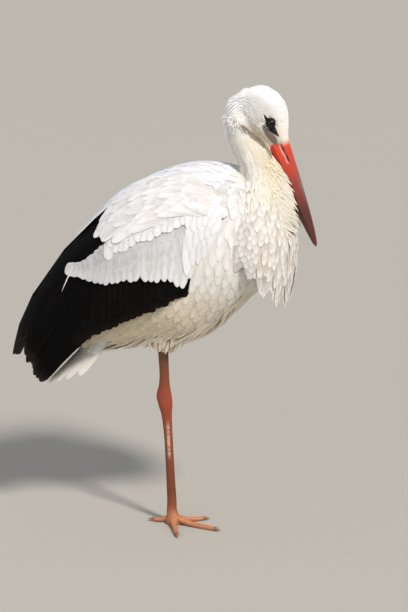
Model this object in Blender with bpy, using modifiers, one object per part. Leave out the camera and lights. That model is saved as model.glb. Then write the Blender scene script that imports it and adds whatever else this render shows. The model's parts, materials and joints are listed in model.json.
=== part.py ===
"""White stork resting on its right leg, a life-size still model.

Metres, +Z up, the bird faces +X and its left is +Y. The origin is on the floor under the joint where the
standing foot's toes meet. The plumage solids reach out to the feather tips. They meet with thin gaps.
"""

import math

import bmesh
import bpy
import numpy as np
from mathutils import Vector

# ---------------------------------------------------------------- driving sizes
GAP = 0.0003  # clearance between two solids that touch
BODY_Y = -0.010  # the body's middle plane: it leans so that its weight is over the foot

TARSUS_LENGTH = 0.208
FOOT_JOINT_Z = 0.014
ANKLE_X = -0.0085
ANKLE_Z = FOOT_JOINT_Z + TARSUS_LENGTH

BILL_LENGTH = 0.1835  # along the gape
BILL_PITCH = math.radians(-67)  # the head is bowed and the bill lies on the breast
BILL_ROOT = (0.1675, 0.6600)  # x and z of the corner of the mouth
EYE_RADIUS = 0.0078

BODY_HALF_WIDTH = 0.092
WING_HALF_WIDTH = 0.099
BED = 0.0015  # room round the bill where it lies in the plumage
WING_DEPTH = 0.0148  # from the outer feathers to the body under them
CUT_ROOM = 0.0015  # what a plain cutter allows for the finer plate that lies in its cut
RUFF_THICKNESS = 0.007
TAIL_THICKNESS = 0.006
PLUMES = 11  # pointed locks along the edge of the breast plumage
TAIL_FEATHERS = 12
COVERT_ENDS = 14
SECONDARY_ENDS = 9
LONG_ENDS = 3
COVERT_REACH = 0.56  # how far back the white coverts go, as a share of the wing's length

CLAW_LENGTH = 0.011
FOLDED_RISE = math.radians(13.5)  # the drawn-up leg's slope, from its ankle up to its foot


# ---------------------------------------------------------------- scene and materials
def clear_scene():
    for obj in list(bpy.data.objects):
        bpy.data.objects.remove(obj)
    for name in ("white stork", "cutters"):
        collection = bpy.data.collections.new(name)
        bpy.context.scene.collection.children.link(collection)
    bpy.data.collections["cutters"].hide_render = True


def finish(name, colour, roughness):
    material = bpy.data.materials.new(name)
    material.use_nodes = True
    shader = material.node_tree.nodes["Principled BSDF"]
    shader.inputs["Base Color"].default_value = (*colour, 1.0)
    shader.inputs["Roughness"].default_value = roughness
    shader.inputs["Metallic"].default_value = 0.0
    material.diffuse_color = (*colour, 1.0)
    return material


# ---------------------------------------------------------------- curves and meshes
def smooth_row(rows, share):
    """The row at this share of the way along a list of rows, on a Catmull-Rom spline."""
    rows = np.asarray(rows, float)
    place = min(max(share, 0.0), 1.0) * (len(rows) - 1)
    i = min(int(place), len(rows) - 2)
    t = place - i
    a, b = rows[i], rows[i + 1]
    before = rows[i - 1] if i > 0 else 2 * a - b
    after = rows[i + 2] if i + 2 < len(rows) else 2 * b - a
    return 0.5 * (
        2 * a
        + (b - before) * t
        + (2 * before - 5 * a + 4 * b - after) * t**2
        + (3 * a - before - 3 * b + after) * t**3
    )


def new_object(name, points, faces, material, collection="white stork"):
    mesh = bpy.data.meshes.new(name)
    mesh.from_pydata([tuple(p) for p in points], [], faces)
    if material:
        mesh.materials.append(material)
    obj = bpy.data.objects.new(name, mesh)
    bpy.data.collections[collection].objects.link(obj)
    return obj


def face_outwards(obj):
    bm = bmesh.new()
    bm.from_mesh(obj.data)
    bmesh.ops.recalc_face_normals(bm, faces=bm.faces)
    bmesh.ops.triangulate(bm, faces=bm.faces)
    bm.to_mesh(obj.data)
    bm.free()
    obj.data.shade_smooth()
    obj.data.set_sharp_from_angle(angle=math.radians(40))


def loft(name, rows, material, side=(0, 1, 0), rings=14, sides=16, domes=(0.0, 0.0), power=2.0,
         span=(0.0, 1.0), floor=None):
    """A closed solid along a smooth path.

    Each row is x, y, z, half width along side, half depth above and half depth below the path.
    domes are the shares of the length over which each end rounds off. span keeps a part of the path.
    """
    side = Vector(side).normalized()
    points, faces = [], []
    shares = [span[0] + (span[1] - span[0]) * k / (rings - 1) for k in range(rings)]
    if domes[0]:
        shares = [domes[0] * 0.03, domes[0] * 0.18] + [s for s in shares if s > domes[0] * 0.4]
    if domes[1]:
        shares = [s for s in shares if s < 1 - domes[1] * 0.4] + [1 - domes[1] * 0.18, 1 - domes[1] * 0.03]
    for share in shares:
        row = smooth_row(rows, share)
        step = 0.01
        ahead = Vector(smooth_row(rows, share + step)[:3] - smooth_row(rows, share - step)[:3]).normalized()
        above = ahead.cross(side).normalized()
        across = above.cross(ahead).normalized()
        width, up, down = row[3], row[4], row[5]
        for dome, far in ((domes[0], share), (domes[1], 1 - share)):
            if dome and far < dome:
                shrink = math.sqrt(max(0.0, 1 - (1 - far / dome) ** 2))
                width, up, down = width * shrink, up * shrink, down * shrink
        for k in range(sides):
            angle = 2 * math.pi * k / sides
            c, s = math.cos(angle), math.sin(angle)
            a = math.copysign(abs(c) ** (2 / power), c) * width
            b = math.copysign(abs(s) ** (2 / power), s) * (up if s > 0 else down)
            point = Vector(row[:3]) + across * a + above * b
            if floor is not None:
                point.z = max(point.z, floor)
            points.append(point)
    count = len(shares)
    for i in range(count - 1):
        for k in range(sides):
            n = (k + 1) % sides
            faces.append((i * sides + k, i * sides + n, (i + 1) * sides + n, (i + 1) * sides + k))
    for first in (0, (count - 1) * sides):
        ring = list(range(first, first + sides))
        middle = sum((points[i] for i in ring), Vector()) / sides
        points.append(middle)
        faces += [(ring[k], ring[(k + 1) % sides], len(points) - 1) for k in range(sides)]
    obj = new_object(name, points, faces, material)
    face_outwards(obj)
    return obj


def shell(name, surface, columns, rows, thickness, edge_thickness, material, mirror_y=False):
    """A plate with this outer surface. surface(u, v) gives a point, v running to the thin edge."""
    points, faces, weights = [], [], []
    for i in range(columns + 1):
        for j in range(rows + 1):
            x, y, z = surface(i / columns, j / rows)
            points.append((x, 2 * BODY_Y - y if mirror_y else y, z))
            weights.append((1 - j / rows) ** 0.7)
    for i in range(columns):
        for j in range(rows):
            quad = (i * (rows + 1) + j, (i + 1) * (rows + 1) + j)
            quad = (quad[0], quad[1], quad[1] + 1, quad[0] + 1)
            faces.append(quad[::-1] if mirror_y else quad)
    obj = new_object(name, points, faces, material)
    group = obj.vertex_groups.new(name="thick")
    for index, weight in enumerate(weights):
        group.add([index], weight, "REPLACE")
    solid = obj.modifiers.new("plate", "SOLIDIFY")
    solid.thickness = thickness
    solid.offset = -1.0
    solid.vertex_group = "thick"
    solid.thickness_vertex_group = edge_thickness / thickness
    obj.modifiers.new("triangles", "TRIANGULATE")
    obj.data.shade_smooth()
    return obj


def grown_copy(obj, grow=GAP):
    """A hidden copy of the object as it stands, with its surface moved outwards by grow."""
    graph = bpy.context.evaluated_depsgraph_get()
    mesh = bpy.data.meshes.new_from_object(obj.evaluated_get(graph))
    bm = bmesh.new()
    bm.from_mesh(mesh)
    bmesh.ops.recalc_face_normals(bm, faces=bm.faces)
    bm.normal_update()
    moved = [v.co + v.normal * grow * 1.15 for v in bm.verts]
    for vert, place in zip(bm.verts, moved):
        vert.co = place
    bm.to_mesh(mesh)
    bm.free()
    cutter = bpy.data.objects.new(obj.name + "_cutter", mesh)
    cutter.hide_render = True
    cutter.display_type = "WIRE"
    cutter.matrix_world = obj.matrix_world
    bpy.data.collections["cutters"].objects.link(cutter)
    return cutter


def space_of(surface, columns, rows, thickness):
    """A hidden plate that fills the space under a surface, with room for the surface's own plate."""
    plate = shell("space", surface, columns, rows, thickness + 2 * CUT_ROOM, thickness + 2 * CUT_ROOM, None)
    plate.modifiers["plate"].offset = -1 + 2 * CUT_ROOM / (thickness + 2 * CUT_ROOM)
    bpy.context.view_layer.update()
    cutter = grown_copy(plate)
    bpy.data.objects.remove(plate)
    return cutter


def cut(target, cutter):
    boolean = target.modifiers.new("cut by " + cutter.name, "BOOLEAN")
    boolean.operation = "DIFFERENCE"
    boolean.object = cutter


# ---------------------------------------------------------------- head, bill and neck
def head_frame(along, across, aside=0.0):
    """A point from its place in the head: along the bill from its root, towards the crown, to the left."""
    c, s = math.cos(BILL_PITCH), math.sin(BILL_PITCH)
    return (BILL_ROOT[0] + along * c - across * s, BODY_Y + aside, BILL_ROOT[1] + along * s + across * c)


def head_rows():
    """The head from the nape to the root of the bill, feathers included."""
    stations = (  # along, across, half width, towards the crown, towards the throat
        (-0.0985, 0.000, 0.0120, 0.0120, 0.0160),
        (-0.0900, 0.000, 0.0225, 0.0260, 0.0330),
        (-0.0720, 0.002, 0.0285, 0.0385, 0.0400),
        (-0.0480, 0.004, 0.0300, 0.0435, 0.0350),
        (-0.0240, 0.006, 0.0255, 0.0370, 0.0260),
        (-0.0060, 0.009, 0.0185, 0.0265, 0.0190),
        (0.0050, 0.011, 0.0150, 0.0165, 0.0200),
    )
    return [(*head_frame(a, b), w, up, down) for a, b, w, up, down in stations]


def bill_rows(upper):
    """One half of the bill, a tapering wedge with its flat side on the line of the gape."""
    rows = []
    for share in (0.0, 0.2, 0.4, 0.6, 0.8, 0.93, 1.0):
        along = -0.012 + share * (BILL_LENGTH + (0.012 if upper else 0.009))
        width = 0.0125 * (1 - share) ** 0.85 + 0.0013
        depth = (0.0262 * (1 - share) ** 0.61 if upper else 0.0125 * (1 - share) ** 0.65) + 0.0012
        rise = GAP / 2
        if upper:
            rows.append((*head_frame(along, rise), width, depth, 0.0))
        else:
            rows.append((*head_frame(along, -rise), width, 0.0, depth))
    return rows


def make_head(paints):
    head = loft("head", head_rows(), paints["plumage"], rings=9, sides=14, domes=(0.10, 0.0))
    bill_upper = loft("bill_upper", bill_rows(True), paints["bill"], rings=7, sides=12)
    bill_lower = loft("bill_lower", bill_rows(False), paints["bill"], rings=7, sides=12)
    head_cutter = grown_copy(head)
    bill_cutters = [grown_copy(bill, BED) for bill in (bill_upper, bill_lower)]
    for bill in (bill_upper, bill_lower):
        cut(bill, head_cutter)
    for name, way in (("eye_left", 1), ("eye_right", -1)):
        bpy.ops.mesh.primitive_uv_sphere_add(
            segments=10, ring_count=7, radius=EYE_RADIUS, location=head_frame(-0.0343, 0.0140, way * 0.0220))
        eye = bpy.context.object
        eye.name = name
        eye.data.materials.append(paints["eye"])
        eye.data.shade_smooth()
        for collection in eye.users_collection:
            collection.objects.unlink(eye)
        bpy.data.collections["white stork"].objects.link(eye)
        bpy.context.view_layer.update()
        cut(head, grown_copy(eye))
    return head_cutter, bill_cutters


def neck_rows():
    """The neck from the breast up to the nape: x, y, z, half width, behind, in front."""
    stations = (  # x, z, half width, half depth behind, half depth in front
        (0.152, 0.560, 0.064, 0.050, 0.050),
        (0.150, 0.602, 0.046, 0.036, 0.046),
        (0.143, 0.626, 0.037, 0.031, 0.042),
        (0.129, 0.649, 0.031, 0.027, 0.030),
        (0.115, 0.674, 0.028, 0.0245, 0.024),
        (0.111, 0.700, 0.027, 0.0240, 0.025),
        (0.118, 0.724, 0.023, 0.0240, 0.020),
    )
    return [(x, BODY_Y, z, w, back, front) for x, z, w, back, front in stations]


# ---------------------------------------------------------------- trunk, breast and tail
def body_rows():
    """The body from the breast to the root of the tail: x, y, z, half width, half heights up and down."""
    stations = (  # x, z of the widest line, half width, height above it, depth below it
        (0.198, 0.510, 0.038, 0.045, 0.045),
        (0.172, 0.505, 0.066, 0.095, 0.075),
        (0.130, 0.498, 0.082, 0.124, 0.083),
        (0.080, 0.482, BODY_HALF_WIDTH, 0.136, 0.102),
        (0.030, 0.462, BODY_HALF_WIDTH, 0.138, 0.120),
        (-0.020, 0.440, 0.088, 0.133, 0.123),
        (-0.070, 0.412, 0.074, 0.108, 0.104),
        (-0.115, 0.376, 0.054, 0.076, 0.085),
        (-0.150, 0.334, 0.034, 0.046, 0.044),
    )
    return [(x, BODY_Y, z, w, up, down) for x, z, w, up, down in stations]


def make_body(paints):
    """The body's one long form, parted across into the breast, the trunk and the vent."""
    rows = body_rows()
    seam = GAP / 0.36  # the path is about 0.36 m long
    common = {"sides": 20, "power": 2.15, "side": (0, -1, 0)}
    breast = loft("breast", rows, paints["plumage"], rings=5, span=(0.0, 0.30), **common)
    trunk = loft("trunk", rows, paints["plumage"], rings=8, span=(0.30 + seam, 0.78), **common)
    vent = loft("vent", rows, paints["plumage"], rings=4, span=(0.78 + seam, 1.0), **common)
    return breast, trunk, vent


def ruff_point(around, down, pointed=True):
    """The mantle of long plumes that hangs from the lower neck over the breast, ending in points."""
    angle = math.radians(-118 + 236 * around)
    reach = 1.0 - scallops(around, PLUMES, 0.17) * down**3 if pointed else 1.0
    front = math.cos(angle)
    top = Vector((0.150 + 0.043 * front, 0.050 * math.sin(angle), 0.588 + 0.012 * (1 - front)))
    side_drop = 0.060 * (1 - max(front, 0.0)) ** 1.5
    low = Vector((0.133 + 0.064 * front, 0.094 * math.sin(angle), 0.390 + side_drop + 0.018 * (1 - front)))
    mid = Vector((0.146 + 0.083 * front, 0.112 * math.sin(angle), 0.497 + 0.3 * side_drop))
    t = down * reach
    point = top * (1 - t) ** 2 + mid * 2 * t * (1 - t) + low * t**2
    return point.x, BODY_Y + point.y, point.z


def tail_point(across, along, rounded=True):
    """The short tail: a fan of round-ended feathers, its sides lowered like a roof."""
    side = 2 * across - 1
    root = Vector((-0.112 + 0.012 * side**2, -0.030 * side, 0.352 - 0.014 * side**2))
    tip = Vector((-0.217 + 0.075 * side**2, -0.068 * side, 0.239 + 0.027 * side**2))
    point = root.lerp(tip, along * (1 - (scallops(across, TAIL_FEATHERS, 0.07) if rounded else 0)))
    return point.x, BODY_Y + point.y, point.z


# ---------------------------------------------------------------- wings
def wing_rows():
    """Cross-sections of the folded wing, from the bend to the tip.

    Each is the upper edge, the shoulder's control point and the lower edge: x, distance from the middle, z.
    """
    w = WING_HALF_WIDTH
    return (
        (0.086, 0.052, 0.592, 0.082, w + 0.008, 0.575, 0.083, w - 0.010, 0.490),
        (0.036, 0.026, 0.617, 0.030, w + 0.016, 0.608, 0.032, w - 0.002, 0.424),
        (-0.030, 0.015, 0.603, -0.030, w + 0.018, 0.590, -0.020, w, 0.394),
        (-0.084, 0.011, 0.571, -0.086, w + 0.006, 0.552, -0.072, w - 0.005, 0.369),
        (-0.128, 0.009, 0.526, -0.130, w - 0.018, 0.505, -0.122, w - 0.018, 0.345),
        (-0.176, 0.008, 0.474, -0.172, 0.064, 0.455, -0.158, 0.067, 0.318),
        (-0.218, 0.008, 0.414, -0.210, 0.050, 0.400, -0.188, 0.055, 0.286),
        (-0.249, 0.009, 0.352, -0.236, 0.042, 0.340, -0.208, 0.046, 0.262),
        (-0.266, 0.013, 0.292, -0.252, 0.036, 0.285, -0.222, 0.040, 0.244),
    )


def wing_point(along, down):
    """A point of the right wing's outer face, from the bend (0) to the tip (1) and from the spine down."""
    row = smooth_row(wing_rows(), along)
    upper, shoulder, lower = Vector(row[0:3]), Vector(row[3:6]), Vector(row[6:9])
    point = upper * (1 - down) ** 2 + shoulder * 2 * down * (1 - down) + lower * down**2
    return point.x, BODY_Y - point.y, point.z


def scallops(place, count, depth):
    """How far a row of rounded feather ends falls short of its longest reach."""
    return depth * (1 - abs(math.sin(math.pi * count * place)) ** 0.6)


def inset(depth, along, down):
    """A point of the wing, this far in from its outer face."""
    here = Vector(wing_point(along, down))
    along_wing = Vector(wing_point(along + 0.01, down)) - Vector(wing_point(along - 0.01, down))
    down_wing = Vector(wing_point(along, down + 0.02)) - Vector(wing_point(along, down - 0.02))
    return here - along_wing.cross(down_wing).normalized() * depth


def scapular_edge(along):
    """The lower edge of the scapulars, as a share of the way down the wing."""
    return 0.47 - 0.10 * math.cos(min(along / 0.45, 1.0) * math.pi)


def covert_edge(along):
    """The lower edge of the white coverts."""
    return float(smooth_row([(0.985,), (0.94,), (0.835,), (0.78,), (0.68,)], along / COVERT_REACH)[0])


def tertial_start(down):
    """The line where the black tertials come out from under the white feathers."""
    return 0.475 + 0.34 * down**2


def wing_groups():
    """The feather groups of a wing, outermost first.

    Each has a name, its outer face, its columns and rows, its thickness at the root and the tip, and a paint.
    """

    def scapulars(u, v):
        reach = 0.475 + 0.075 * v**2 - scallops(v, 4, 0.012)
        return inset(0.0, u * reach, v * scapular_edge(u * 0.475))

    def coverts(u, v):
        s = u * COVERT_REACH
        top = scapular_edge(min(s, 0.475)) - 0.06
        low = covert_edge(s) - scallops(u, COVERT_ENDS, 0.020) * v**4
        return inset(0.0053, s, top + (low - top) * v)

    def secondaries(u, v):
        s = 0.11 + u * 0.50
        top = covert_edge(s) - 0.05
        low = 1.0 - scallops(u, SECONDARY_ENDS, 0.024) * v**4
        return inset(0.0092, s, top + (low - top) * v)

    def tertials(u, v):
        down = v * 0.62
        start = tertial_start(down)
        return inset(0.0053, start + u * (1.0 - scallops(v, LONG_ENDS, 0.05) - start), down)

    def primaries(u, v):
        start = 0.616
        s = start + u * (0.955 - scallops(v, LONG_ENDS, 0.05) - start)
        return inset(0.0095, s, 0.56 + 0.44 * v)

    return (
        ("scapulars", scapulars, 10, 4, 0.0080, 0.0030, "plumage"),
        ("coverts", coverts, 2 * COVERT_ENDS, 2, 0.0048, 0.0020, "plumage"),
        ("secondaries", secondaries, 2 * SECONDARY_ENDS, 1, 0.0050, 0.0012, "flight"),
        ("tertials", tertials, 5, 2 * LONG_ENDS, 0.0030, 0.0030, "flight"),
        ("primaries", primaries, 5, 2 * LONG_ENDS, 0.0030, 0.0015, "flight"),
    )


def make_wing(side, paints):
    for name, place, columns, rows, root, tip, paint in wing_groups():
        shell(f"wing_{side}_{name}", place, columns, rows, root, tip, paints[paint], mirror_y=side == "left")


def wing_block(side):
    """The space that a wing takes up, from the body out past its feathers."""

    def inner_face(u, v):
        before_bend = Vector((0.008, 0, 0)) * max(0.0, 1 - 12 * u)
        return inset(WING_DEPTH, u * 0.66, v * 1.10 - 0.05) + before_bend

    block = shell(f"wing_{side}_space", inner_face, 9, 4, 0.04, 0.04, None, mirror_y=side == "left")
    block.modifiers["plate"].offset = 1.0
    bpy.context.view_layer.update()
    cutter = grown_copy(block)
    bpy.data.objects.remove(block)
    return cutter


# ---------------------------------------------------------------- legs and feet
def leg_loft(name, rows, paint, rings=8, sides=9, domes=(0.0, 0.0), side=(0, 1, 0)):
    return loft(name, rows, paint, side=side, rings=rings, sides=sides, domes=domes)


def claw_rows(tip, ahead, radius):
    """A short blunt claw on the end of a toe."""
    rows = []
    for share in (0.0, 0.5, 1.0):
        place = tip + ahead * (share * CLAW_LENGTH - 0.0015)
        place.z += 0.0006 - 0.0012 * share**2
        size = radius * 0.62 * (1 - share) ** 0.8 + 0.0008
        rows.append((*place, size, size, size * 0.8))
    return rows


def standing_toe(name, joint, heading, length, radius, paints, drop):
    """A toe of the standing foot, from the joint down to the floor. heading is the way it points in plan."""
    ahead = Vector((math.cos(heading), math.sin(heading), 0))
    side = Vector((-ahead.y, ahead.x, 0))
    rows = []
    for share, fall, size in ((0.0, 0.0, 1.15), (0.25, 0.62, 1.12), (0.5, 0.92, 0.96), (0.78, 1.0, 0.9),
                              (1.0, 1.0, 0.66)):
        place = Vector(joint) + ahead * (0.006 + share * (length - 0.006))
        place.z = joint[2] - drop * fall
        rows.append((*place, radius * size, radius * size * 0.95, radius * size * 0.95))
    body = loft(name, rows, paints["leg"], side=side, rings=6, sides=8, domes=(0.10, 0.06), floor=0.0)
    tip = Vector(rows[-1][:3])
    claw = loft("claw_" + name.split("_", 1)[1], claw_rows(tip, ahead, radius), paints["claw"], side=side,
                rings=3, sides=5, floor=0.0)
    cut(claw, grown_copy(body))
    return body


def make_standing_leg(paints):
    joint = (0.0, 0.0, FOOT_JOINT_Z)
    ankle = (ANKLE_X, -0.009, ANKLE_Z)
    pad = leg_loft("foot_right", [  # the ball under the joint, flat below
        (0.003, -0.002, 0.0, 0.0120, 0.0122, 0.0118),
        (0.003, -0.002, 0.0045, 0.0126, 0.0130, 0.0126),
        (0.003, -0.002, 0.0085, 0.0122, 0.0128, 0.0122),
        (0.001, -0.0005, 0.0155, 0.0098, 0.0104, 0.0100),
        (0.0, 0.0, 0.0218, 0.0078, 0.0088, 0.0088),
    ], paints["leg"], rings=5, sides=12)
    tarsus = [  # x, y, z, half width, half depth behind, half depth in front
        (0.000, 0.000, 0.0236, 0.0078, 0.0088, 0.0088),
        (0.000, 0.000, 0.040, 0.0063, 0.0081, 0.0081),
        (-0.0015, -0.002, 0.080, 0.0055, 0.0074, 0.0074),
        (-0.0040, -0.005, 0.145, 0.0054, 0.0072, 0.0072),
        (-0.0068, -0.008, 0.192, 0.0068, 0.0088, 0.0088),
        (ankle[0], ankle[1], ANKLE_Z - 0.010, 0.0095, 0.0122, 0.0118),
    ]
    shank = [
        (ankle[0], ankle[1], ANKLE_Z - 0.0095, 0.0095, 0.0123, 0.0119),
        (ankle[0] - 0.001, ankle[1], ANKLE_Z + 0.006, 0.0100, 0.0145, 0.0112),
        (ankle[0] - 0.001, -0.012, ANKLE_Z + 0.024, 0.0078, 0.0100, 0.0088),
        (-0.0095, -0.016, 0.268, 0.0066, 0.0080, 0.0082),
        (-0.0100, -0.021, 0.298, 0.0070, 0.0084, 0.0086),
        (-0.0100, -0.025, 0.322, 0.0080, 0.0095, 0.0095),
    ]
    lower = leg_loft("tarsus_right", tarsus, paints["leg"], rings=8)
    upper = leg_loft("shank_right", shank, paints["leg"], rings=8)
    cut(upper, grown_copy(lower))
    shank_top = 0.3
    thigh = loft("thigh_right", [
        (-0.009, -0.020, shank_top + 0.004, 0.014, 0.017, 0.017),
        (-0.006, -0.022, shank_top + 0.026, 0.025, 0.030, 0.027),
        (0.000, -0.024, shank_top + 0.050, 0.030, 0.038, 0.034),
    ], paints["plumage"], rings=5, sides=12, domes=(0.12, 0.0))
    thigh_cutter = grown_copy(thigh)
    cut(thigh, grown_copy(upper))
    foot_toes = (
        ("toe_middle_right", math.radians(-20), 0.083, 0.0048, 0.0106),
        ("toe_outer_right", math.radians(-74), 0.067, 0.0045, 0.0104),
        ("toe_inner_right", math.radians(21), 0.056, 0.0045, 0.0104),
        ("toe_hind_right", math.radians(174), 0.032, 0.0040, 0.0098),
    )
    made = [grown_copy(pad), grown_copy(lower)]
    for name, heading, length, radius, drop in foot_toes:
        body = standing_toe(name, joint, heading, length, radius, paints, drop)
        for earlier in made:
            cut(body, earlier)
        made.append(grown_copy(body))
    return thigh_cutter


def make_folded_leg(paints):
    """The left leg, drawn up against the belly. Its bent ankle pulls the toes into a loose fist."""
    y = BODY_Y + 0.050
    ankle = Vector((-0.122, y, 0.344))
    foot = ankle + TARSUS_LENGTH * Vector((math.cos(FOLDED_RISE), 0, math.sin(FOLDED_RISE)))
    tarsus = [(*ankle.lerp(foot, share), width, depth, depth) for share, width, depth in (
        (0.05, 0.0095, 0.0118), (0.22, 0.0066, 0.0084), (0.50, 0.0055, 0.0073), (0.80, 0.0060, 0.0078),
        (1.00, 0.0085, 0.0092))]
    shank = [
        (-0.030, y, 0.398, 0.0080, 0.0090, 0.0090),
        (-0.080, y, 0.377, 0.0068, 0.0082, 0.0082),
        (-0.106, y, 0.3655, 0.0090, 0.0105, 0.0105),
        (-0.126, y, 0.355, 0.0090, 0.0105, 0.0100),
    ]
    lower = leg_loft("tarsus_left", tarsus, paints["leg"], rings=6, sides=8, domes=(0.06, 0.0))
    upper = leg_loft("shank_left", shank, paints["leg"], rings=6, sides=8, domes=(0.0, 0.22))
    lower_cutter = grown_copy(lower)
    cut(upper, lower_cutter)
    made = []
    for name, length, radius, aside, start, curl in (  # start and curl are angles in the leg's own plane
        ("toe_middle_left", 0.083, 0.0048, 0.000, 60, 200),
        ("toe_outer_left", 0.067, 0.0045, 0.013, 40, 170),
        ("toe_inner_left", 0.056, 0.0045, -0.012, 40, 165),
        ("toe_hind_left", 0.032, 0.0040, -0.006, -95, 65),
    ):
        place = foot + Vector((math.cos(math.radians(start)), 0, math.sin(math.radians(start)))) * 0.007
        rows, steps = [], 8
        for step in range(steps + 1):
            share = step / steps
            size = radius * (1.15 - 0.45 * share)
            rows.append((place.x, place.y + aside * share**0.7, place.z - 0.002, size, size, size))
            turn = math.radians(start - curl * min(share * 1.6, 1.0))
            place = place + Vector((math.cos(turn), 0, math.sin(turn))) * length / steps
        body = loft(name, rows, paints["leg"], rings=5, sides=6, domes=(0.08, 0.06))
        tip, before = Vector(rows[-1][:3]), Vector(rows[-2][:3])
        ahead = (tip - before).normalized()
        claw = loft("claw_" + name.split("_", 1)[1], claw_rows(tip, ahead, radius), paints["claw"], rings=3,
                    sides=5)
        cut(body, lower_cutter)
        for earlier in made:
            cut(body, earlier)
        made.append(grown_copy(body))
        cut(claw, made[-1])
    return lower_cutter, grown_copy(upper), foot_hollow(foot)


def foot_hollow(foot):
    """The hollow in the belly plumage where the curled foot lies."""
    middle = foot + Vector((-0.003, 0, -0.006))
    bpy.ops.mesh.primitive_uv_sphere_add(segments=10, ring_count=5, radius=1.0, location=middle)
    hollow = bpy.context.object
    hollow.name = "foot_hollow"
    hollow.scale = (0.052, 0.029, 0.040)
    hollow.hide_render = True
    hollow.display_type = "WIRE"
    for collection in hollow.users_collection:
        collection.objects.unlink(hollow)
    bpy.data.collections["cutters"].objects.link(hollow)
    return hollow


# ---------------------------------------------------------------- the whole bird
def main():
    clear_scene()
    paints = {
        "plumage": finish("white contour plumage", (0.86, 0.84, 0.80), 0.85),
        "flight": finish("black flight feathers", (0.018, 0.016, 0.018), 0.6),
        "bill": finish("red bill horn", (0.62, 0.09, 0.03), 0.4),
        "leg": finish("red scaled leg skin", (0.50, 0.12, 0.06), 0.6),
        "claw": finish("dark claw horn", (0.16, 0.09, 0.06), 0.5),
        "eye": finish("dark brown eye", (0.02, 0.012, 0.01), 0.1),
    }
    head_cutter, bill_cutters = make_head(paints)
    neck = loft("neck", neck_rows(), paints["plumage"], rings=8, sides=12, domes=(0.0, 0.12))
    neck_cutter = grown_copy(neck)
    cut(neck, head_cutter)
    ruff = shell("breast_plumes", ruff_point, 2 * PLUMES, 3, RUFF_THICKNESS, 0.002, paints["plumage"])
    tail = shell("tail", tail_point, 2 * TAIL_FEATHERS, 1, TAIL_THICKNESS, 0.0015, paints["plumage"])
    breast, trunk, vent = make_body(paints)
    thigh_cutter = make_standing_leg(paints)
    folded = make_folded_leg(paints)
    for side in ("right", "left"):
        make_wing(side, paints)
    bpy.context.view_layer.update()

    for side in ("right", "left"):
        space = wing_block(side)
        for target in (trunk, vent, breast):
            cut(target, space)
    for cutter in bill_cutters:
        for target in (neck, breast, ruff):
            cut(target, cutter)
    ruff_cutter = space_of(lambda u, v: ruff_point(1.04 * u - 0.02, v, False), 10, 3, RUFF_THICKNESS)
    tail_cutter = space_of(lambda u, v: tail_point(1.1 * u - 0.05, v, False), 6, 1, TAIL_THICKNESS)
    cut(ruff, neck_cutter)
    for target in (breast, trunk):
        cut(target, neck_cutter)
        cut(target, ruff_cutter)
    for target in (trunk, vent):
        cut(target, thigh_cutter)
        cut(target, tail_cutter)
        for cutter in folded:
            cut(target, cutter)


main()
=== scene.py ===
"""The look of the resting white stork: its skin, plumage, bill, eyes and legs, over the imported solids."""
import json
import math
from itertools import product

import bmesh
import bpy
import numpy as np
from mathutils import Matrix, Vector
from mathutils.kdtree import KDTree

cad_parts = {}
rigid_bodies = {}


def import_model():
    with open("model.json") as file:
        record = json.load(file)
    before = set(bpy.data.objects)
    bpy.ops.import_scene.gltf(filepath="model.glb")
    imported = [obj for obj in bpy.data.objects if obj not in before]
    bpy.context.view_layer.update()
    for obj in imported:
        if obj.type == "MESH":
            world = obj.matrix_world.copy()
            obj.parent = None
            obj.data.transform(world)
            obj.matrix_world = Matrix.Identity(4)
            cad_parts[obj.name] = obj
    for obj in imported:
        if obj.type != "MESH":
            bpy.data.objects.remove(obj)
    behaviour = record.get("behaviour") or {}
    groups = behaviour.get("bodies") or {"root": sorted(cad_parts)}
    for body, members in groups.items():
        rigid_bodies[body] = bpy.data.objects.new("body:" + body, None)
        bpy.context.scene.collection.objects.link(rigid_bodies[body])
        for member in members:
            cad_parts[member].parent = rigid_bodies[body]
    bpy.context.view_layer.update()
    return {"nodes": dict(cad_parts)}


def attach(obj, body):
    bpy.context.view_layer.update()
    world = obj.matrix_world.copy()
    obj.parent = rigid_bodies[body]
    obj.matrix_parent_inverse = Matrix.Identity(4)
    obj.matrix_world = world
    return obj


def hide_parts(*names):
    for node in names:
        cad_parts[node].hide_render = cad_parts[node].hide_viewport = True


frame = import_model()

BODY = "root"
SEED = 7
MIDDLE_Y = -0.010  # the body's middle plane
HEAD_PITCH = math.radians(-67)  # the way the bowed bill points
BILL_ROOT = (0.1675, 0.6600)  # x and z, on the line of the gape
BILL_LENGTH = 0.1835
EYE_PLACE = (-0.0343, 0.0140, 0.0220)  # along the head, towards the crown, out from the middle
EYE_RADIUS = 0.0078
WING_HALF = 0.099  # about how far the folded wings stand out from the middle plane
TAIL_FEATHERS = 10  # drawn; two more lie hidden
LOCKS = 11  # pointed locks along the edge of the breast plumes
PLUME_SWEEP = 118  # degrees that the breast plumes reach round to either side
PLUME_TOP = 0.588  # the height of their roots in front
FOOT_HOLLOW = np.array([0.077, 0.040, 0.384])  # where the drawn-up foot lies in the belly's feathers
SIDES = ("right", "left")
BLACK = "#060505"
GOLDEN = 0.618034  # steps of this share of the way round never line up
COAT_SHADE = 0.035  # how much the small feathers differ in tone
ROOT_DEPTH = 0.0006  # how deep in the skin they start
PATCH = 0.003  # how wide a feather's patch is on the coat's unwrapped skin
RIM = math.radians(50)  # a vane's two sides meet in a sharp rim
NEIGHBOURS = np.array(list(product((-1, 0, 1), repeat=3)))  # the cells of a grid round one, and itself
rng = np.random.default_rng(SEED)


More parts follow.
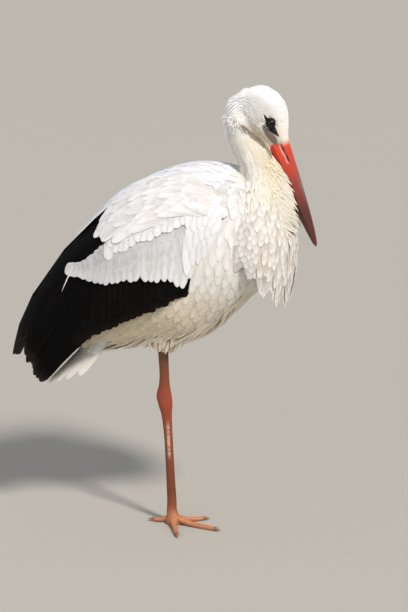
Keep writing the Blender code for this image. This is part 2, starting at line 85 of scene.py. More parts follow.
# ---------------------------------------------------------------- colours, nodes and meshes
def linear(code):
    """A hex colour in sRGB as linear values."""
    parts = np.array([int(code[k:k + 2], 16) / 255 for k in (1, 3, 5)])
    return np.where(parts <= 0.04045, parts / 12.92, ((parts + 0.055) / 1.055) ** 2.4)


def paint(code):
    return (*linear(code), 1.0)


def over(under, colour, share):
    """A tint with a hex colour laid over it, by a share for each point."""
    share = share[:, None]
    return under * (1 - share) + linear(colour) * share


def columns(*parts):
    """Numbers or arrays set side by side along a new last axis."""
    return np.stack(np.broadcast_arrays(*(np.asarray(part, float) for part in parts)), -1)


def ramp(places, stops, codes):
    """Hex colours that run into each other from stop to stop."""
    shades = np.array([linear(code) for code in codes])
    return columns(*(np.interp(places, stops, shades[:, k]) for k in range(3)))


def set_inputs(node, values):
    for name, value in values.items():
        node.inputs[name].default_value = value


def add(tree, kind, links=None, **settings):
    """Adds a node with its settings.

    links gives its inputs, each a value, another node's output, or a node, which means its first output.
    """
    made = tree.nodes.new(kind)
    for key, value in settings.items():
        setattr(made, key, value)
    for name, value in (links or {}).items():
        if isinstance(value, bpy.types.Node):
            value = value.outputs[0]
        if isinstance(value, bpy.types.NodeSocket):
            tree.links.new(value, made.inputs[name])
        else:
            made.inputs[name].default_value = value
    return made


def new_object(name, data):
    made = bpy.data.objects.new(name, data)
    bpy.context.scene.collection.objects.link(made)
    return made


def set_tint(mesh, tint):
    """Stores a colour for every point, which the materials read."""
    layer = mesh.color_attributes.new("tint", "FLOAT_COLOR", "POINT")
    layer.data.foreach_set("color", np.hstack([tint, np.ones((len(tint), 1))]).astype(np.float32).ravel())


def new_mesh(name, points, faces, material=None, maps=None, tint=None):
    """A smooth mesh object. maps are UV maps by name, and each has a place for every point."""
    mesh = bpy.data.meshes.new(name)
    mesh.from_pydata(np.asarray(points).tolist(), [], faces)
    corners = np.zeros(len(mesh.loops), np.int32)
    mesh.loops.foreach_get("vertex_index", corners)
    for key, values in (maps or {}).items():
        layer = mesh.uv_layers.new(name=key)
        layer.uv.foreach_set("vector", np.asarray(values, np.float32)[corners].ravel())
    if tint is not None:
        set_tint(mesh, tint)
    if material:
        mesh.materials.append(material)
    mesh.shade_smooth()
    return new_object(name, mesh)


def points_of(mesh, normals=False):
    values = np.zeros(len(mesh.vertices) * 3, np.float32)
    (mesh.vertex_normals if normals else mesh.vertices).foreach_get("vector" if normals else "co", values)
    return values.reshape(-1, 3).astype(float)


def move_points(mesh, points):
    mesh.vertices.foreach_set("co", points.ravel().astype(np.float32))


def mirrored(points):
    """The same places on the body's other side."""
    return points * [1, -1, 1] + [0, 2 * MIDDLE_Y, 0]


def unit(vectors):
    return vectors / np.maximum(np.linalg.norm(vectors, axis=-1, keepdims=True), 1e-9)


def spline(rows, share):
    """The rows at these shares of the way along a list of rows, on a Catmull-Rom spline."""
    rows = np.asarray(rows, float)
    place = np.clip(share, -0.15, 1.15) * (len(rows) - 1)
    i = np.clip(place.astype(int), 0, len(rows) - 2)
    t = (place - i)[..., None]
    padded = np.vstack([2 * rows[0] - rows[1], rows, 2 * rows[-1] - rows[-2]])
    before, a, b, after = (padded[i + k] for k in range(4))
    curve = 0.5 * (2 * a + (b - before) * t + (2 * before - 5 * a + 4 * b - after) * t**2
                   + (3 * a - before - 3 * b + after) * t**3)
    straight = a + (b - a) * t
    return np.where((t < 0) | (t > 1), straight, curve)


def smooth_step(low, high, value):
    t = np.clip((value - low) / (high - low), 0.0, 1.0)
    return t * t * (3 - 2 * t)


# ---------------------------------------------------------------- materials
def start_material(name, inputs):
    material = bpy.data.materials.new(name)
    material.use_nodes = True
    shader = material.node_tree.nodes["Principled BSDF"]
    set_inputs(shader, inputs)
    return material, material.node_tree, shader


def feather_material(name, barbs, roughness, edge, shaft, sheen, bump, lined, gloss, soft=0.0):
    """Feather vane: keratin barbs to both sides of a shaft.

    The feather's own colour comes from the attribute "tint". barbs is how many lines of barbs show along
    the feather: real barbs are 0.3 to 0.6 mm apart, and on long feathers these are drawn several times as
    coarse, so that they show. lined is how much of the shaft's colour shows, and soft how much light passes
    in under the surface.
    """
    material, tree, shader = start_material(name, {
        "Roughness": roughness, "IOR": 1.54, "Specular IOR Level": gloss, "Sheen Weight": sheen,
        "Sheen Roughness": 0.5, "Subsurface Weight": soft, "Subsurface Scale": 0.003,
        "Subsurface Radius": (1.0, 0.9, 0.8)})
    tint = add(tree, "ShaderNodeAttribute", attribute_name="tint").outputs["Color"]
    split = add(tree, "ShaderNodeSeparateXYZ", {0: add(tree, "ShaderNodeUVMap", uv_map="vane")})
    centred = add(tree, "ShaderNodeMath", {0: split, 1: 2.0, 2: -1.0}, operation="MULTIPLY_ADD")
    out = add(tree, "ShaderNodeMath", {0: centred}, operation="ABSOLUTE")
    # The barbs slant towards the tip, and a little noise keeps them from looking ruled.
    slant = add(tree, "ShaderNodeMath", {0: out, 1: -0.22, 2: split.outputs[1]}, operation="MULTIPLY_ADD")
    noise = add(tree, "ShaderNodeTexNoise", {"Scale": 900.0, "Detail": 2.0})
    wobble = add(tree, "ShaderNodeMath", {0: noise, 1: 3.0}, operation="MULTIPLY")
    wave = add(tree, "ShaderNodeMath", {0: slant, 1: barbs * 2 * math.pi, 2: wobble},
               operation="MULTIPLY_ADD")
    barb = add(tree, "ShaderNodeMath", {0: wave}, operation="SINE")
    shade = add(tree, "ShaderNodeMath", {0: barb, 1: 0.03, 2: 0.97}, operation="MULTIPLY_ADD")
    # The rim is the outer quarter of either side, and the quill the inner sixteenth.
    rim = add(tree, "ShaderNodeMath", {0: out, 1: 4.0, 2: -3.0}, operation="MULTIPLY_ADD")
    rim = add(tree, "ShaderNodeMath", {0: rim, 1: 0.0, 2: 0.1}, operation="SMOOTH_MAX")
    rim = add(tree, "ShaderNodeMath", {0: rim, 1: 0.6}, operation="MULTIPLY")
    quill = add(tree, "ShaderNodeMath", {0: out, 1: -16.0, 2: 1.0}, operation="MULTIPLY_ADD")
    quill = add(tree, "ShaderNodeMath", {0: quill, 1: 0.0}, operation="MAXIMUM")
    quill = add(tree, "ShaderNodeMath", {0: quill, 1: lined}, operation="MULTIPLY")
    colour = tint
    for share, layer, blending in ((rim, paint(edge), "MIX"), (quill, paint(shaft), "MIX"),
                                   (1.0, shade, "MULTIPLY")):
        colour = add(tree, "ShaderNodeMix", {0: share, 6: colour, 7: layer}, data_type="RGBA",
                     blend_type=blending).outputs[2]
    relief = add(tree, "ShaderNodeBump", {"Strength": bump, "Distance": 0.0003, "Height": barb})
    tree.links.new(colour, shader.inputs["Base Color"])
    tree.links.new(relief.outputs[0], shader.inputs["Normal"])
    return material


def tinted_material(name, roughness, grain, depth, ior=1.5, coat=0.0):
    """Skin or horn with its colours in the attribute "tint".

    grain is how wide the bumps of its fine relief are and depth how high, in metres.
    """
    material, tree, shader = start_material(name, {"Roughness": roughness, "IOR": ior, "Coat Weight": coat})
    tint = add(tree, "ShaderNodeAttribute", attribute_name="tint").outputs["Color"]
    place = add(tree, "ShaderNodeTexCoord").outputs["Object"]
    noise = add(tree, "ShaderNodeTexNoise", {"Vector": place, "Scale": 1 / grain, "Detail": 4.0})
    patches = add(tree, "ShaderNodeTexNoise", {"Vector": place, "Scale": 0.12 / grain, "Detail": 3.0})
    mottle = add(tree, "ShaderNodeMath", {0: patches, 1: 0.34, 2: 0.83}, operation="MULTIPLY_ADD")
    colour = add(tree, "ShaderNodeMix", {0: 1.0, 6: tint, 7: mottle}, data_type="RGBA", blend_type="MULTIPLY")
    relief = add(tree, "ShaderNodeBump", {"Strength": 0.6, "Distance": depth, "Height": noise})
    uneven = add(tree, "ShaderNodeMath", {0: noise, 1: 0.2, 2: roughness - 0.1}, operation="MULTIPLY_ADD")
    tree.links.new(colour.outputs[2], shader.inputs["Base Color"])
    tree.links.new(relief.outputs[0], shader.inputs["Normal"])
    tree.links.new(uneven.outputs[0], shader.inputs["Roughness"])
    return material


def make_finishes():
    """The materials, by the names that the rest of the script uses."""
    return {
        # Soft white vanes: matt, with a faint bloom at grazing angles from the free barbs.
        "white": feather_material("white contour feather", 26, 0.85, "#fbfaf7", "#f3ede4", sheen=0.10,
                                  bump=0.25, lined=0.12, gloss=0.3, soft=0.35),
        # Large white vanes with finer barbs and clear pale rims.
        "white_long": feather_material("white covert feather", 60, 0.80, "#fbfaf8", "#e9e5de", sheen=0.08,
                                       bump=0.2, lined=0.10, gloss=0.3, soft=0.35),
        # Melanin-black vanes: smoother, with a low silky gloss along the barbs, and paler rims of painted
        # sheen.
        "black": feather_material("black flight feather", 90, 0.55, "#1a1715", "#040303", sheen=0.0, bump=0.3,
                                  lined=0.5, gloss=0.04),
        # Bare skin and down under the feathers: dry and matt.
        "skin": tinted_material("downy bird skin", 0.85, 0.0022, 0.0004),
        # Thin dark skin round the eye: matt, with fine folds.
        "lid": tinted_material("bare eyelid skin", 0.70, 0.0008, 0.0001, ior=1.4),
        # Keratin horn: red, satin, finely grained along its length.
        "bill": tinted_material("red bill horn", 0.38, 0.0012, 0.00008, ior=1.54, coat=0.15),
        # Scaled leg skin: dry; its tint is darker in the furrows, which is painted shade.
        "leg": tinted_material("scaled leg skin", 0.55, 0.0016, 0.0002),
        # Claw keratin: dark and worn dull by the ground.
        "claw": tinted_material("dark claw horn", 0.45, 0.0009, 0.0001, ior=1.54),
        # Cornea over a brown iris: smooth and wet, so it takes a small highlight.
        "eye": tinted_material("wet eye", 0.12, 0.0006, 0.00001, ior=1.38),
    }


# ---------------------------------------------------------------- camera, light and floor
def aim_camera():
    """A long lens on the bird's right side, a little ahead of it and looking down on it."""
    turn, pitch = math.radians(8), math.radians(15.06)
    away, height, shift = 4.0, 1.456, 0.0542
    ahead = Vector((-math.sin(turn), math.cos(turn), 0))
    right = Vector((math.cos(turn), math.sin(turn), 0))
    camera = bpy.data.cameras.new("camera")
    camera.sensor_width = 36.0
    camera.lens = 147.6
    holder = new_object("camera", camera)
    holder.location = -ahead * away + right * shift + Vector((0, 0, height))
    holder.rotation_euler = (math.pi / 2 - pitch, 0, turn)
    bpy.context.scene.camera = holder


def light_stage():
    """A soft sun high on the bird's right, a broad low fill from behind on its right, and an even sky."""
    target = Vector((0, 0, 0.42))  # the middle of the bird
    sun = bpy.data.lights.new("key", "SUN")
    sun.angle, sun.energy, sun.color = math.radians(9), 3.4, linear("#fff9f2")
    fill = bpy.data.lights.new("fill", "AREA")
    fill.size, fill.energy, fill.color = 2.4, 32, linear("#f2f4fb")
    for light, place in ((sun, Vector((1.9, -2.0, 3.4))), (fill, Vector((-1.4, -3.0, 1.2)))):
        lamp = new_object(light.name, light)
        lamp.location = place
        lamp.rotation_euler = (target - place).to_track_quat("-Z", "Y").to_euler()
    world = bpy.data.worlds.new("studio")
    world.use_nodes = True
    set_inputs(world.node_tree.nodes["Background"], {"Color": paint("#e3e7ee"), "Strength": 0.60})
    bpy.context.scene.world = world
    bpy.context.scene.view_settings.view_transform = "Standard"


def stage():
    """The camera, the lights and a pale floor."""
    aim_camera()
    light_stage()
    pale, _, _ = start_material("pale studio floor", {"Base Color": paint("#a9a59d"), "Roughness": 0.9})
    span = 40.0
    corners = [(-span, -span, 0), (span, -span, 0), (span, span, 0), (-span, span, 0)]
    new_mesh("studio_floor", corners, [(0, 1, 2, 3)], pale)


# ---------------------------------------------------------------- the forms the plumage follows
def head_frame(along, across, aside):
    """A point from its place in the head: along the bill, towards the crown, and out to the left."""
    c, s = math.cos(HEAD_PITCH), math.sin(HEAD_PITCH)
    along, across = np.asarray(along, float), np.asarray(across, float)
    return columns(BILL_ROOT[0] + along * c - across * s, MIDDLE_Y + np.asarray(aside, float),
                   BILL_ROOT[1] + along * s + across * c)


def in_head(points):
    """The place in the head of a point, as head_frame takes it."""
    c, s = math.cos(HEAD_PITCH), math.sin(HEAD_PITCH)
    x, z = points[..., 0] - BILL_ROOT[0], points[..., 2] - BILL_ROOT[1]
    return columns(x * c + z * s, -x * s + z * c, points[..., 1] - MIDDLE_Y)


def bezier(first, middle, last, share):
    share = np.asarray(share, float)[..., None]
    return first * (1 - share) ** 2 + middle * 2 * share * (1 - share) + last * share**2


WING_ROWS = (  # upper edge, shoulder's control point and lower edge, each x, distance from the middle, z
    (0.086, 0.052, 0.592, 0.082, WING_HALF + 0.008, 0.575, 0.083, WING_HALF - 0.010, 0.490),
    (0.036, 0.026, 0.617, 0.030, WING_HALF + 0.016, 0.608, 0.032, WING_HALF - 0.002, 0.424),
    (-0.030, 0.015, 0.603, -0.030, WING_HALF + 0.018, 0.590, -0.020, WING_HALF, 0.394),
    (-0.084, 0.011, 0.571, -0.086, WING_HALF + 0.006, 0.552, -0.072, WING_HALF - 0.005, 0.369),
    (-0.128, 0.009, 0.526, -0.130, WING_HALF - 0.018, 0.505, -0.122, WING_HALF - 0.018, 0.345),
    (-0.176, 0.008, 0.474, -0.172, 0.064, 0.455, -0.158, 0.067, 0.318),
    (-0.218, 0.008, 0.414, -0.210, 0.050, 0.400, -0.188, 0.055, 0.286),
    (-0.249, 0.009, 0.352, -0.236, 0.042, 0.340, -0.208, 0.046, 0.262),
    (-0.266, 0.013, 0.292, -0.252, 0.036, 0.285, -0.222, 0.040, 0.244),
)


def wing_face(along, down):
    """The folded right wing's outer face, from the bend (0) to the tip (1) and from the spine down."""
    row = spline(WING_ROWS, along)
    point = bezier(row[..., 0:3], row[..., 3:6], row[..., 6:9], down)
    return columns(point[..., 0], MIDDLE_Y - point[..., 1], point[..., 2])


def plume_angle(around):
    """The way a plume faces: straight ahead in the middle (0.5), and far round the sides at 0 and 1."""
    return np.radians(2 * PLUME_SWEEP * np.asarray(around, float) - PLUME_SWEEP)


def plume_face(around, down):
    """The long plumes that hang from the lower neck over the breast."""
    angle = plume_angle(around)
    front, aside = np.cos(angle), np.sin(angle)
    low_side = 0.052 * (1 - np.maximum(front, 0.0)) ** 1.5
    top = columns(0.150 + 0.043 * front, 0.050 * aside, PLUME_TOP + 0.012 * (1 - front))
    middle = columns(0.146 + 0.083 * front, 0.108 * aside, 0.497 + 0.3 * low_side)
    low = columns(0.133 + 0.064 * front, 0.088 * aside, 0.390 + low_side + 0.018 * (1 - front))
    return bezier(top, middle, low, down) + np.array([0, MIDDLE_Y, 0])


def tail_face(across, along):
    """The short tail, a fan with lowered sides."""
    side = 2 * np.asarray(across, float) - 1
    root = columns(-0.112 + 0.012 * side**2, -0.030 * side, 0.352 - 0.014 * side**2)
    tip = columns(-0.217 + 0.075 * side**2, -0.068 * side, 0.239 + 0.027 * side**2)
    along = np.asarray(along, float)[..., None]
    return root * (1 - along) + tip * along + np.array([0, MIDDLE_Y, 0])


BODY_ROWS = (  # x and z of the widest line, half width, height above it and depth below it
    (0.198, 0.510, 0.038, 0.045, 0.045), (0.172, 0.505, 0.066, 0.095, 0.075),
    (0.130, 0.498, 0.082, 0.124, 0.083), (0.080, 0.482, 0.092, 0.136, 0.102),
    (0.030, 0.462, 0.092, 0.138, 0.120), (-0.020, 0.440, 0.088, 0.133, 0.123),
    (-0.070, 0.412, 0.074, 0.108, 0.104), (-0.115, 0.376, 0.054, 0.076, 0.085),
    (-0.150, 0.334, 0.034, 0.046, 0.044),
)

NECK_ROWS = (  # z, x, half width, depth behind and in front
    (0.560, 0.152, 0.064, 0.050, 0.050), (0.602, 0.150, 0.046, 0.036, 0.046),
    (0.626, 0.143, 0.037, 0.031, 0.042), (0.649, 0.129, 0.031, 0.027, 0.030),
    (0.674, 0.115, 0.028, 0.0245, 0.024), (0.700, 0.111, 0.027, 0.024, 0.025),
)


def throat_face(around, down):
    """The lower neck, running on into the breast plumes at their roots (0). Above them down is negative."""
    angle = plume_angle(around)
    height = PLUME_TOP - 0.20 * np.minimum(down, 0.15)
    x, wide, behind, front = (np.interp(height, *np.transpose(NECK_ROWS)[[0, k]]) for k in (1, 2, 3, 4))
    c = np.cos(angle)
    neck = columns(x + np.where(c > 0, front, behind) * c, MIDDLE_Y + wide * np.sin(angle), height)
    share = smooth_step(-0.20, 0.12, down)[..., None]
    return neck * (1 - share) + plume_face(around, np.maximum(down, -0.05)) * share


BIB_ROWS = ((0.640, 0.134, 0.036, 0.034), (0.615, 0.146, 0.047, 0.041), (0.588, 0.150, 0.0565, 0.050),
            (0.5415, 0.148, 0.0690, 0.076), (0.500, 0.147, 0.0710, 0.088))  # z, x, depth in front, half width


def bib_face(fall, aside):
    """The right side of the plumage over the bill's lower edge: down, and round from ahead, in metres."""
    height = BIB_ROWS[0][0] - np.asarray(fall, float)
    x, front, wide = (np.interp(height, *np.transpose(BIB_ROWS[::-1])[[0, k]]) for k in (1, 2, 3))
    mean_radius = 0.055
    angle = np.maximum(aside, 0.001) / mean_radius
    return columns(x + front * np.cos(angle), MIDDLE_Y - wide * np.sin(angle) ** 1.5, height)


def body_face(along, round_it):
    """The body without its wings, from breast to vent, and from the back (0) down its right side (1)."""
    row = spline(BODY_ROWS, along)
    ahead = unit(spline(BODY_ROWS, along + 0.01)[..., :2] - spline(BODY_ROWS, along - 0.01)[..., :2])
    angle = math.pi * (0.5 - round_it)
    c, s = np.cos(angle), np.sin(angle)
    full = 2 / 2.15  # a section a little fuller than an ellipse
    out = np.sign(c) * np.abs(c) ** full * row[..., 2]
    up = np.sign(s) * np.abs(s) ** full * np.where(s > 0, row[..., 3], row[..., 4])
    return columns(row[..., 0] + ahead[..., 1] * up, MIDDLE_Y - out, row[..., 1] - ahead[..., 0] * up)


MANTLE_ROWS = (  # the back's middle line: x and z, half width, and how far its sides fall
    (0.120, 0.6185, 0.050, 0.046), (0.092, 0.6255, 0.056, 0.037), (0.050, 0.6275, 0.043, 0.018),
    (0.010, 0.6190, 0.033, 0.009), (-0.030, 0.6035, 0.026, 0.006), (-0.084, 0.5730, 0.018, 0.004),
    (-0.128, 0.5290, 0.015, 0.003), (-0.176, 0.4770, 0.013, 0.003),
)


def mantle_face(along, across):
    """The feathers of the back between the wings, from the neck backwards and from right (0) to left (1)."""
    row = spline(MANTLE_ROWS, along)
    side = 2 * np.asarray(across, float) - 1
    return columns(row[..., 0], MIDDLE_Y + side * row[..., 2], row[..., 1] - side**2 * row[..., 3])


THIGH_ROWS = (  # the thigh's middle line: x, y and z, and its half width forwards and sideways
    (0.002, -0.024, 0.362, 0.042, 0.036), (0.000, -0.023, 0.344, 0.039, 0.034),
    (-0.004, -0.022, 0.328, 0.035, 0.030), (-0.008, -0.020, 0.312, 0.0275, 0.0235),
)


def thigh_face(around, down):
    """The feathered thigh of the standing leg, from the belly down to the bare shank."""
    row = spline(THIGH_ROWS, down)
    angle = 2 * math.pi * np.asarray(around, float)
    x, y, z, forwards, sideways = np.moveaxis(row, -1, 0)
    return columns(x + forwards * np.cos(angle), y + sideways * np.sin(angle), z)


HEARTS = {  # a point inside the body that the vanes on each face look away from
    wing_face: (-0.05, MIDDLE_Y, 0.45), tail_face: (-0.10, MIDDLE_Y, 0.25),
    plume_face: (0.12, MIDDLE_Y, 0.50), throat_face: (0.135, MIDDLE_Y, 0.58),
    bib_face: (0.13, MIDDLE_Y, 0.58), body_face: (0.02, MIDDLE_Y, 0.44),
    mantle_face: (-0.02, MIDDLE_Y, 0.45), thigh_face: (-0.005, -0.022, 0.33),
}
FAR_BELOW = (0, 0, -9)  # vanes on any other face look up


def facing(face, u, v):
    """Points of a face with their outward directions."""
    step = 0.004
    points = face(u, v)
    out = unit(np.cross(face(u + step, v) - face(u - step, v), face(u, v + step) - face(u, v - step)))
    away = np.sign(np.sum(out * (points - np.asarray(HEARTS.get(face, FAR_BELOW))), -1, keepdims=True))
    return points, out * away


# ---------------------------------------------------------------- single vanes
# Outlines: places from the root (0) to the tip (1), each with its share of the full width.
ROUND_END = ((0.0, 0.22), (0.10, 0.62), (0.30, 0.95), (0.60, 1.0), (0.82, 0.93), (0.93, 0.70), (0.985, 0.36))
POINTED_END = ((0.0, 0.25), (0.12, 0.70), (0.35, 1.0), (0.60, 0.86), (0.80, 0.56), (0.92, 0.27), (0.98, 0.10))
LONG_END = ((0.0, 0.30), (0.06, 0.75), (0.25, 1.0), (0.50, 1.0), (0.72, 0.95), (0.86, 0.80), (0.95, 0.50),
            (0.99, 0.22))
BLUNT_END = ((0.0, 0.30), (0.10, 0.80), (0.30, 1.0), (0.90, 1.0), (0.965, 0.90), (0.992, 0.60))
SOFT_END = ((0.0, 0.25), (0.08, 0.65), (0.30, 1.0), (0.58, 0.97), (0.76, 0.80), (0.88, 0.55), (0.95, 0.30),
            (0.99, 0.12))
# Sections: places from side to side, each with its height in thicknesses.
WIDE_RING = ((-1, 0), (-0.55, 1), (0, 1.6), (0.55, 1), (1, 0), (0.55, -1), (0, -1), (-0.55, -1))
SLIM_RING = ((-1, 0), (0, 1), (1, 0), (0, -1))
TUFT_RING = ((-1, -0.4), (0, 1), (1, -0.4))


def vane_faces(rings, around):
    """The faces of one vane: a pole at its root, rings of points, and a pole at its tip."""
    last = 1 + rings * around
    faces = []
    for k in range(around):
        n = (k + 1) % around
        faces.append((0, 1 + k, 1 + n))
        faces.append((last, last - around + n, last - around + k))
        for r in range(rings - 1):
            a, b = 1 + r * around, 1 + (r + 1) * around
            faces.append((a + k, b + k, b + n, a + n))
    return faces


class Plumage:
    """Many vanes, collected for one mesh."""

    def __init__(self):
        self.points, self.faces, self.vane, self.root, self.tint = [], [], [], [], []
        self.count = 0

    def add(self, face, start, end, width, outline, heights, tint, ring=WIDE_RING, thickness=0.0002, roll=0.0,
            camber=0.03, bow=0.0, map_place=None, finish=None, ragged=0.0):
        """Lays vanes on a face, each from start to end in the face's own two coordinates.

        width is half a vane's width, and heights are over the face at even steps from root to tip. roll lifts
        one edge over its neighbour, camber lowers both, and bow bends the path sideways. finish(share, side)
        gives a factor on the tint along and across the vane. ragged is how uneven its edges are.
        """
        start, end = np.atleast_2d(start).astype(float), np.atleast_2d(end).astype(float)
        number = len(start)
        outline = np.asarray(outline)
        first_ring = 0.02
        share = np.concatenate([[0.0, first_ring], outline[1:, 0], [1.0]])
        wide = np.concatenate([[0.0, outline[0, 1]], outline[1:, 1], [0.0]])
        path = start[:, None] + (end - start)[:, None] * share[None, :, None]
        aside = np.stack([-(end - start)[:, 1], (end - start)[:, 0]], -1)
        bow = np.broadcast_to(np.asarray(bow, float), (number,))
        path = path + aside[:, None] * (np.sin(math.pi * share)[None, :] * bow[:, None])[..., None]
        centre, out = facing(face, path[..., 0], path[..., 1])
        across = unit(np.cross(out, unit(np.gradient(centre, axis=1))))
        width = np.broadcast_to(np.asarray(width, float), (number,))[:, None] * wide[None]
        if ragged:
            width = width * (1 + ragged * rng.uniform(-1, 1, width.shape))
        heights = np.atleast_2d(np.asarray(heights, float))
        heights = np.broadcast_to(heights, (number, heights.shape[1]))
        height = np.array([np.interp(share, np.linspace(0, 1, len(row)), row) for row in heights])
        side, layer = np.transpose(ring)
        roll = np.broadcast_to(np.asarray(roll, float), (number,))[:, None, None]
        grow = np.sin(math.pi * np.clip(share, 0.05, 0.95))[None, :, None]
        up = (height[..., None] - camber * width[..., None] * side**2 + roll * side * np.sqrt(grow)
              + layer * thickness * (1.15 - 0.6 * share)[None, :, None] * (width > 0)[..., None])
        grid = (centre[:, :, None] + across[:, :, None] * (width[..., None] * side)[..., None]
                + out[:, :, None] * up[..., None])
        self.keep(grid, share, side, np.clip(start, 0, 1) * 0.94 + 0.03 if map_place is None else map_place,
                  np.atleast_2d(np.asarray(tint, float)), finish)

    def keep(self, grid, share, side, map_place, tint, finish):
        """Stores vanes given as rings of points, closed by a pole at both ends."""
        number, around, rings = len(grid), len(side), len(share) - 2
        middle = grid[:, 1:-1].reshape(number, rings * around, 3)
        flat = np.concatenate([grid[:, :1, 0], middle, grid[:, -1:, 0]], 1)
        sides = np.concatenate([[0.0], np.tile(side, rings), [0.0]])
        shares = np.concatenate([[0.0], np.repeat(share[1:-1], around), [1.0]])
        vane = np.broadcast_to(columns(0.5 + 0.5 * sides, shares), (number, len(shares), 2))
        root = map_place[:, None] + (vane - 0.5) * PATCH
        tint = np.broadcast_to(tint, (number, 3))[:, None]
        factor = finish(shares, sides) if finish else np.ones((len(shares), 3))
        template = vane_faces(rings, around)
        for n in range(number):
            base = self.count + n * len(shares)
            self.faces += [tuple(base + i for i in f) for f in template]
        self.count += number * len(shares)
        for store, values in ((self.points, flat), (self.vane, vane), (self.root, root),
                              (self.tint, np.clip(tint * factor[None], 0, 1))):
            store.append(values.reshape(-1, values.shape[-1]))

    def build(self, name, material=None, mirror=False):
        points, faces = np.vstack(self.points), self.faces
        if mirror:
            points = mirrored(points)
            faces = [f[::-1] for f in faces]
        maps = {"vane": np.vstack(self.vane), "OFBake": np.vstack(self.root)}
        made = new_mesh(name, points, faces, material, maps, np.vstack(self.tint))
        made.data.set_sharp_from_angle(angle=RIM)
        return made


# ---------------------------------------------------------------- what the coat is like from place to place
HEAD_GUIDES = (  # x, z, the feathers' lie in x and z, their length, the coat's depth, colour
    (0.200, 0.672, -0.39, 0.92, 0.0045, 0.0010, "#f4ebe2"),
    (0.193, 0.703, -0.45, 0.90, 0.0060, 0.0014, "#fbf9f4"),
    (0.179, 0.735, -0.70, 0.70, 0.0080, 0.0018, "#fefdfc"),
    (0.151, 0.751, -0.95, 0.10, 0.0100, 0.0022, "#fefdfc"),
    (0.120, 0.747, -0.80, -0.60, 0.0130, 0.0026, "#faf9f6"),
    (0.104, 0.722, -0.40, -0.90, 0.0150, 0.0042, "#f8f7f5"),
    # The two grey rows on the cheek are painted shade of its dimples.
    (0.141, 0.728, -0.80, 0.45, 0.0085, 0.0024, "#e4e0db"),
    (0.153, 0.712, -0.65, 0.76, 0.0065, 0.0020, "#e6e0d8"),
    (0.141, 0.698, -0.74, 0.67, 0.0075, 0.0022, "#f0ece3"),
    (0.120, 0.700, -0.90, 0.10, 0.0100, 0.0026, "#f5f2ec"),
    (0.165, 0.674, -0.60, 0.80, 0.0030, 0.0008, "#c2b5a5"),
    (0.150, 0.668, -0.74, 0.67, 0.0065, 0.0020, "#d6c7a6"),
    (0.140, 0.678, -0.76, 0.65, 0.0080, 0.0024, "#ded2b8"),
)
BODY_GUIDES = (  # the same for the neck and the body
    (0.093, 0.728, -0.40, -0.90, 0.0150, 0.0042, "#f8f7f5"),
    (0.088, 0.695, 0.05, -1.00, 0.0160, 0.0044, "#f6f4f1"),
    (0.115, 0.690, 0.30, -0.95, 0.0140, 0.0030, "#f4f0e8"),
    (0.132, 0.665, 0.50, -0.86, 0.0130, 0.0030, "#f1e7d0"),
    (0.105, 0.655, 0.45, -0.90, 0.0160, 0.0034, "#f4eee0"),
    (0.160, 0.635, 0.50, -0.86, 0.0150, 0.0034, "#eedfbc"),
    (0.175, 0.600, 0.35, -0.93, 0.0200, 0.0036, "#f0e4c6"),
    (0.122, 0.618, 0.25, -0.96, 0.0190, 0.0036, "#efe3c9"),
    (0.195, 0.560, 0.15, -0.98, 0.0260, 0.0024, "#f3eddf"),
    (0.110, 0.590, -0.20, -0.98, 0.0260, 0.0024, "#f1efec"),
    (0.080, 0.610, -0.90, -0.20, 0.0320, 0.0024, "#f0eff1"),
    (0.020, 0.595, -0.97, -0.15, 0.0360, 0.0024, "#f3f2f3"),
    (0.200, 0.480, -0.10, -0.99, 0.0320, 0.0024, "#f5f0e6"),
    (0.130, 0.490, -0.30, -0.95, 0.0340, 0.0024, "#f6f2ec"),
    (0.130, 0.415, -0.45, -0.89, 0.0320, 0.0024, "#f5efe3"),
    (0.090, 0.530, -0.30, -0.95, 0.0340, 0.0024, "#f6f3f0"),
    (0.060, 0.380, -0.60, -0.80, 0.0310, 0.0024, "#efe1c7"),
    (0.060, 0.450, -0.35, -0.94, 0.0330, 0.0024, "#f5f0e6"),
    (0.000, 0.345, -0.75, -0.66, 0.0300, 0.0024, "#e9d7b3"),
    (-0.060, 0.335, -0.85, -0.52, 0.0300, 0.0024, "#e7d4ae"),
    (-0.012, 0.316, -0.20, -0.98, 0.0080, 0.0016, "#ead9b8"),
    (-0.012, 0.330, -0.30, -0.95, 0.0150, 0.0022, "#ead9b8"),
    (-0.020, 0.420, -0.60, -0.80, 0.0310, 0.0024, "#eedfc4"),
    (-0.120, 0.320, -0.85, -0.52, 0.0310, 0.0024, "#ebdbba"),
    (-0.080, 0.500, -0.85, -0.50, 0.0340, 0.0024, "#f3f1ec"),
    (-0.150, 0.350, -0.75, -0.66, 0.0320, 0.0024, "#ebdec4"),
)
JAW = (  # the crease of the jaw: along the head and towards the crown
    (-0.110, -0.030), (-0.085, -0.040), (-0.072, -0.038), (-0.048, -0.031), (-0.024, -0.021),
    (-0.006, -0.0115), (0.010, -0.0090),
)


def is_head(points):
    """True above the crease of the jaw, where the head's own feathers grow."""
    place = in_head(points)
    jaw = np.interp(place[:, 0], *np.transpose(JAW))
    return (place[:, 1] > jaw) & (points[:, 2] > 0.640)


def blend(points, guides):
    """What the guides say at these points, the nearest ones counting most."""
    places = np.array([guide[:2] for guide in guides])
    values = np.array([(*guide[2:6], *linear(guide[6])) for guide in guides])
    gap = np.linalg.norm(points[:, None, [0, 2]] - places[None], axis=-1)
    weight = 1 / (gap + 0.004) ** 4
    return (weight[..., None] * values[None]).sum(1) / weight.sum(1, keepdims=True)


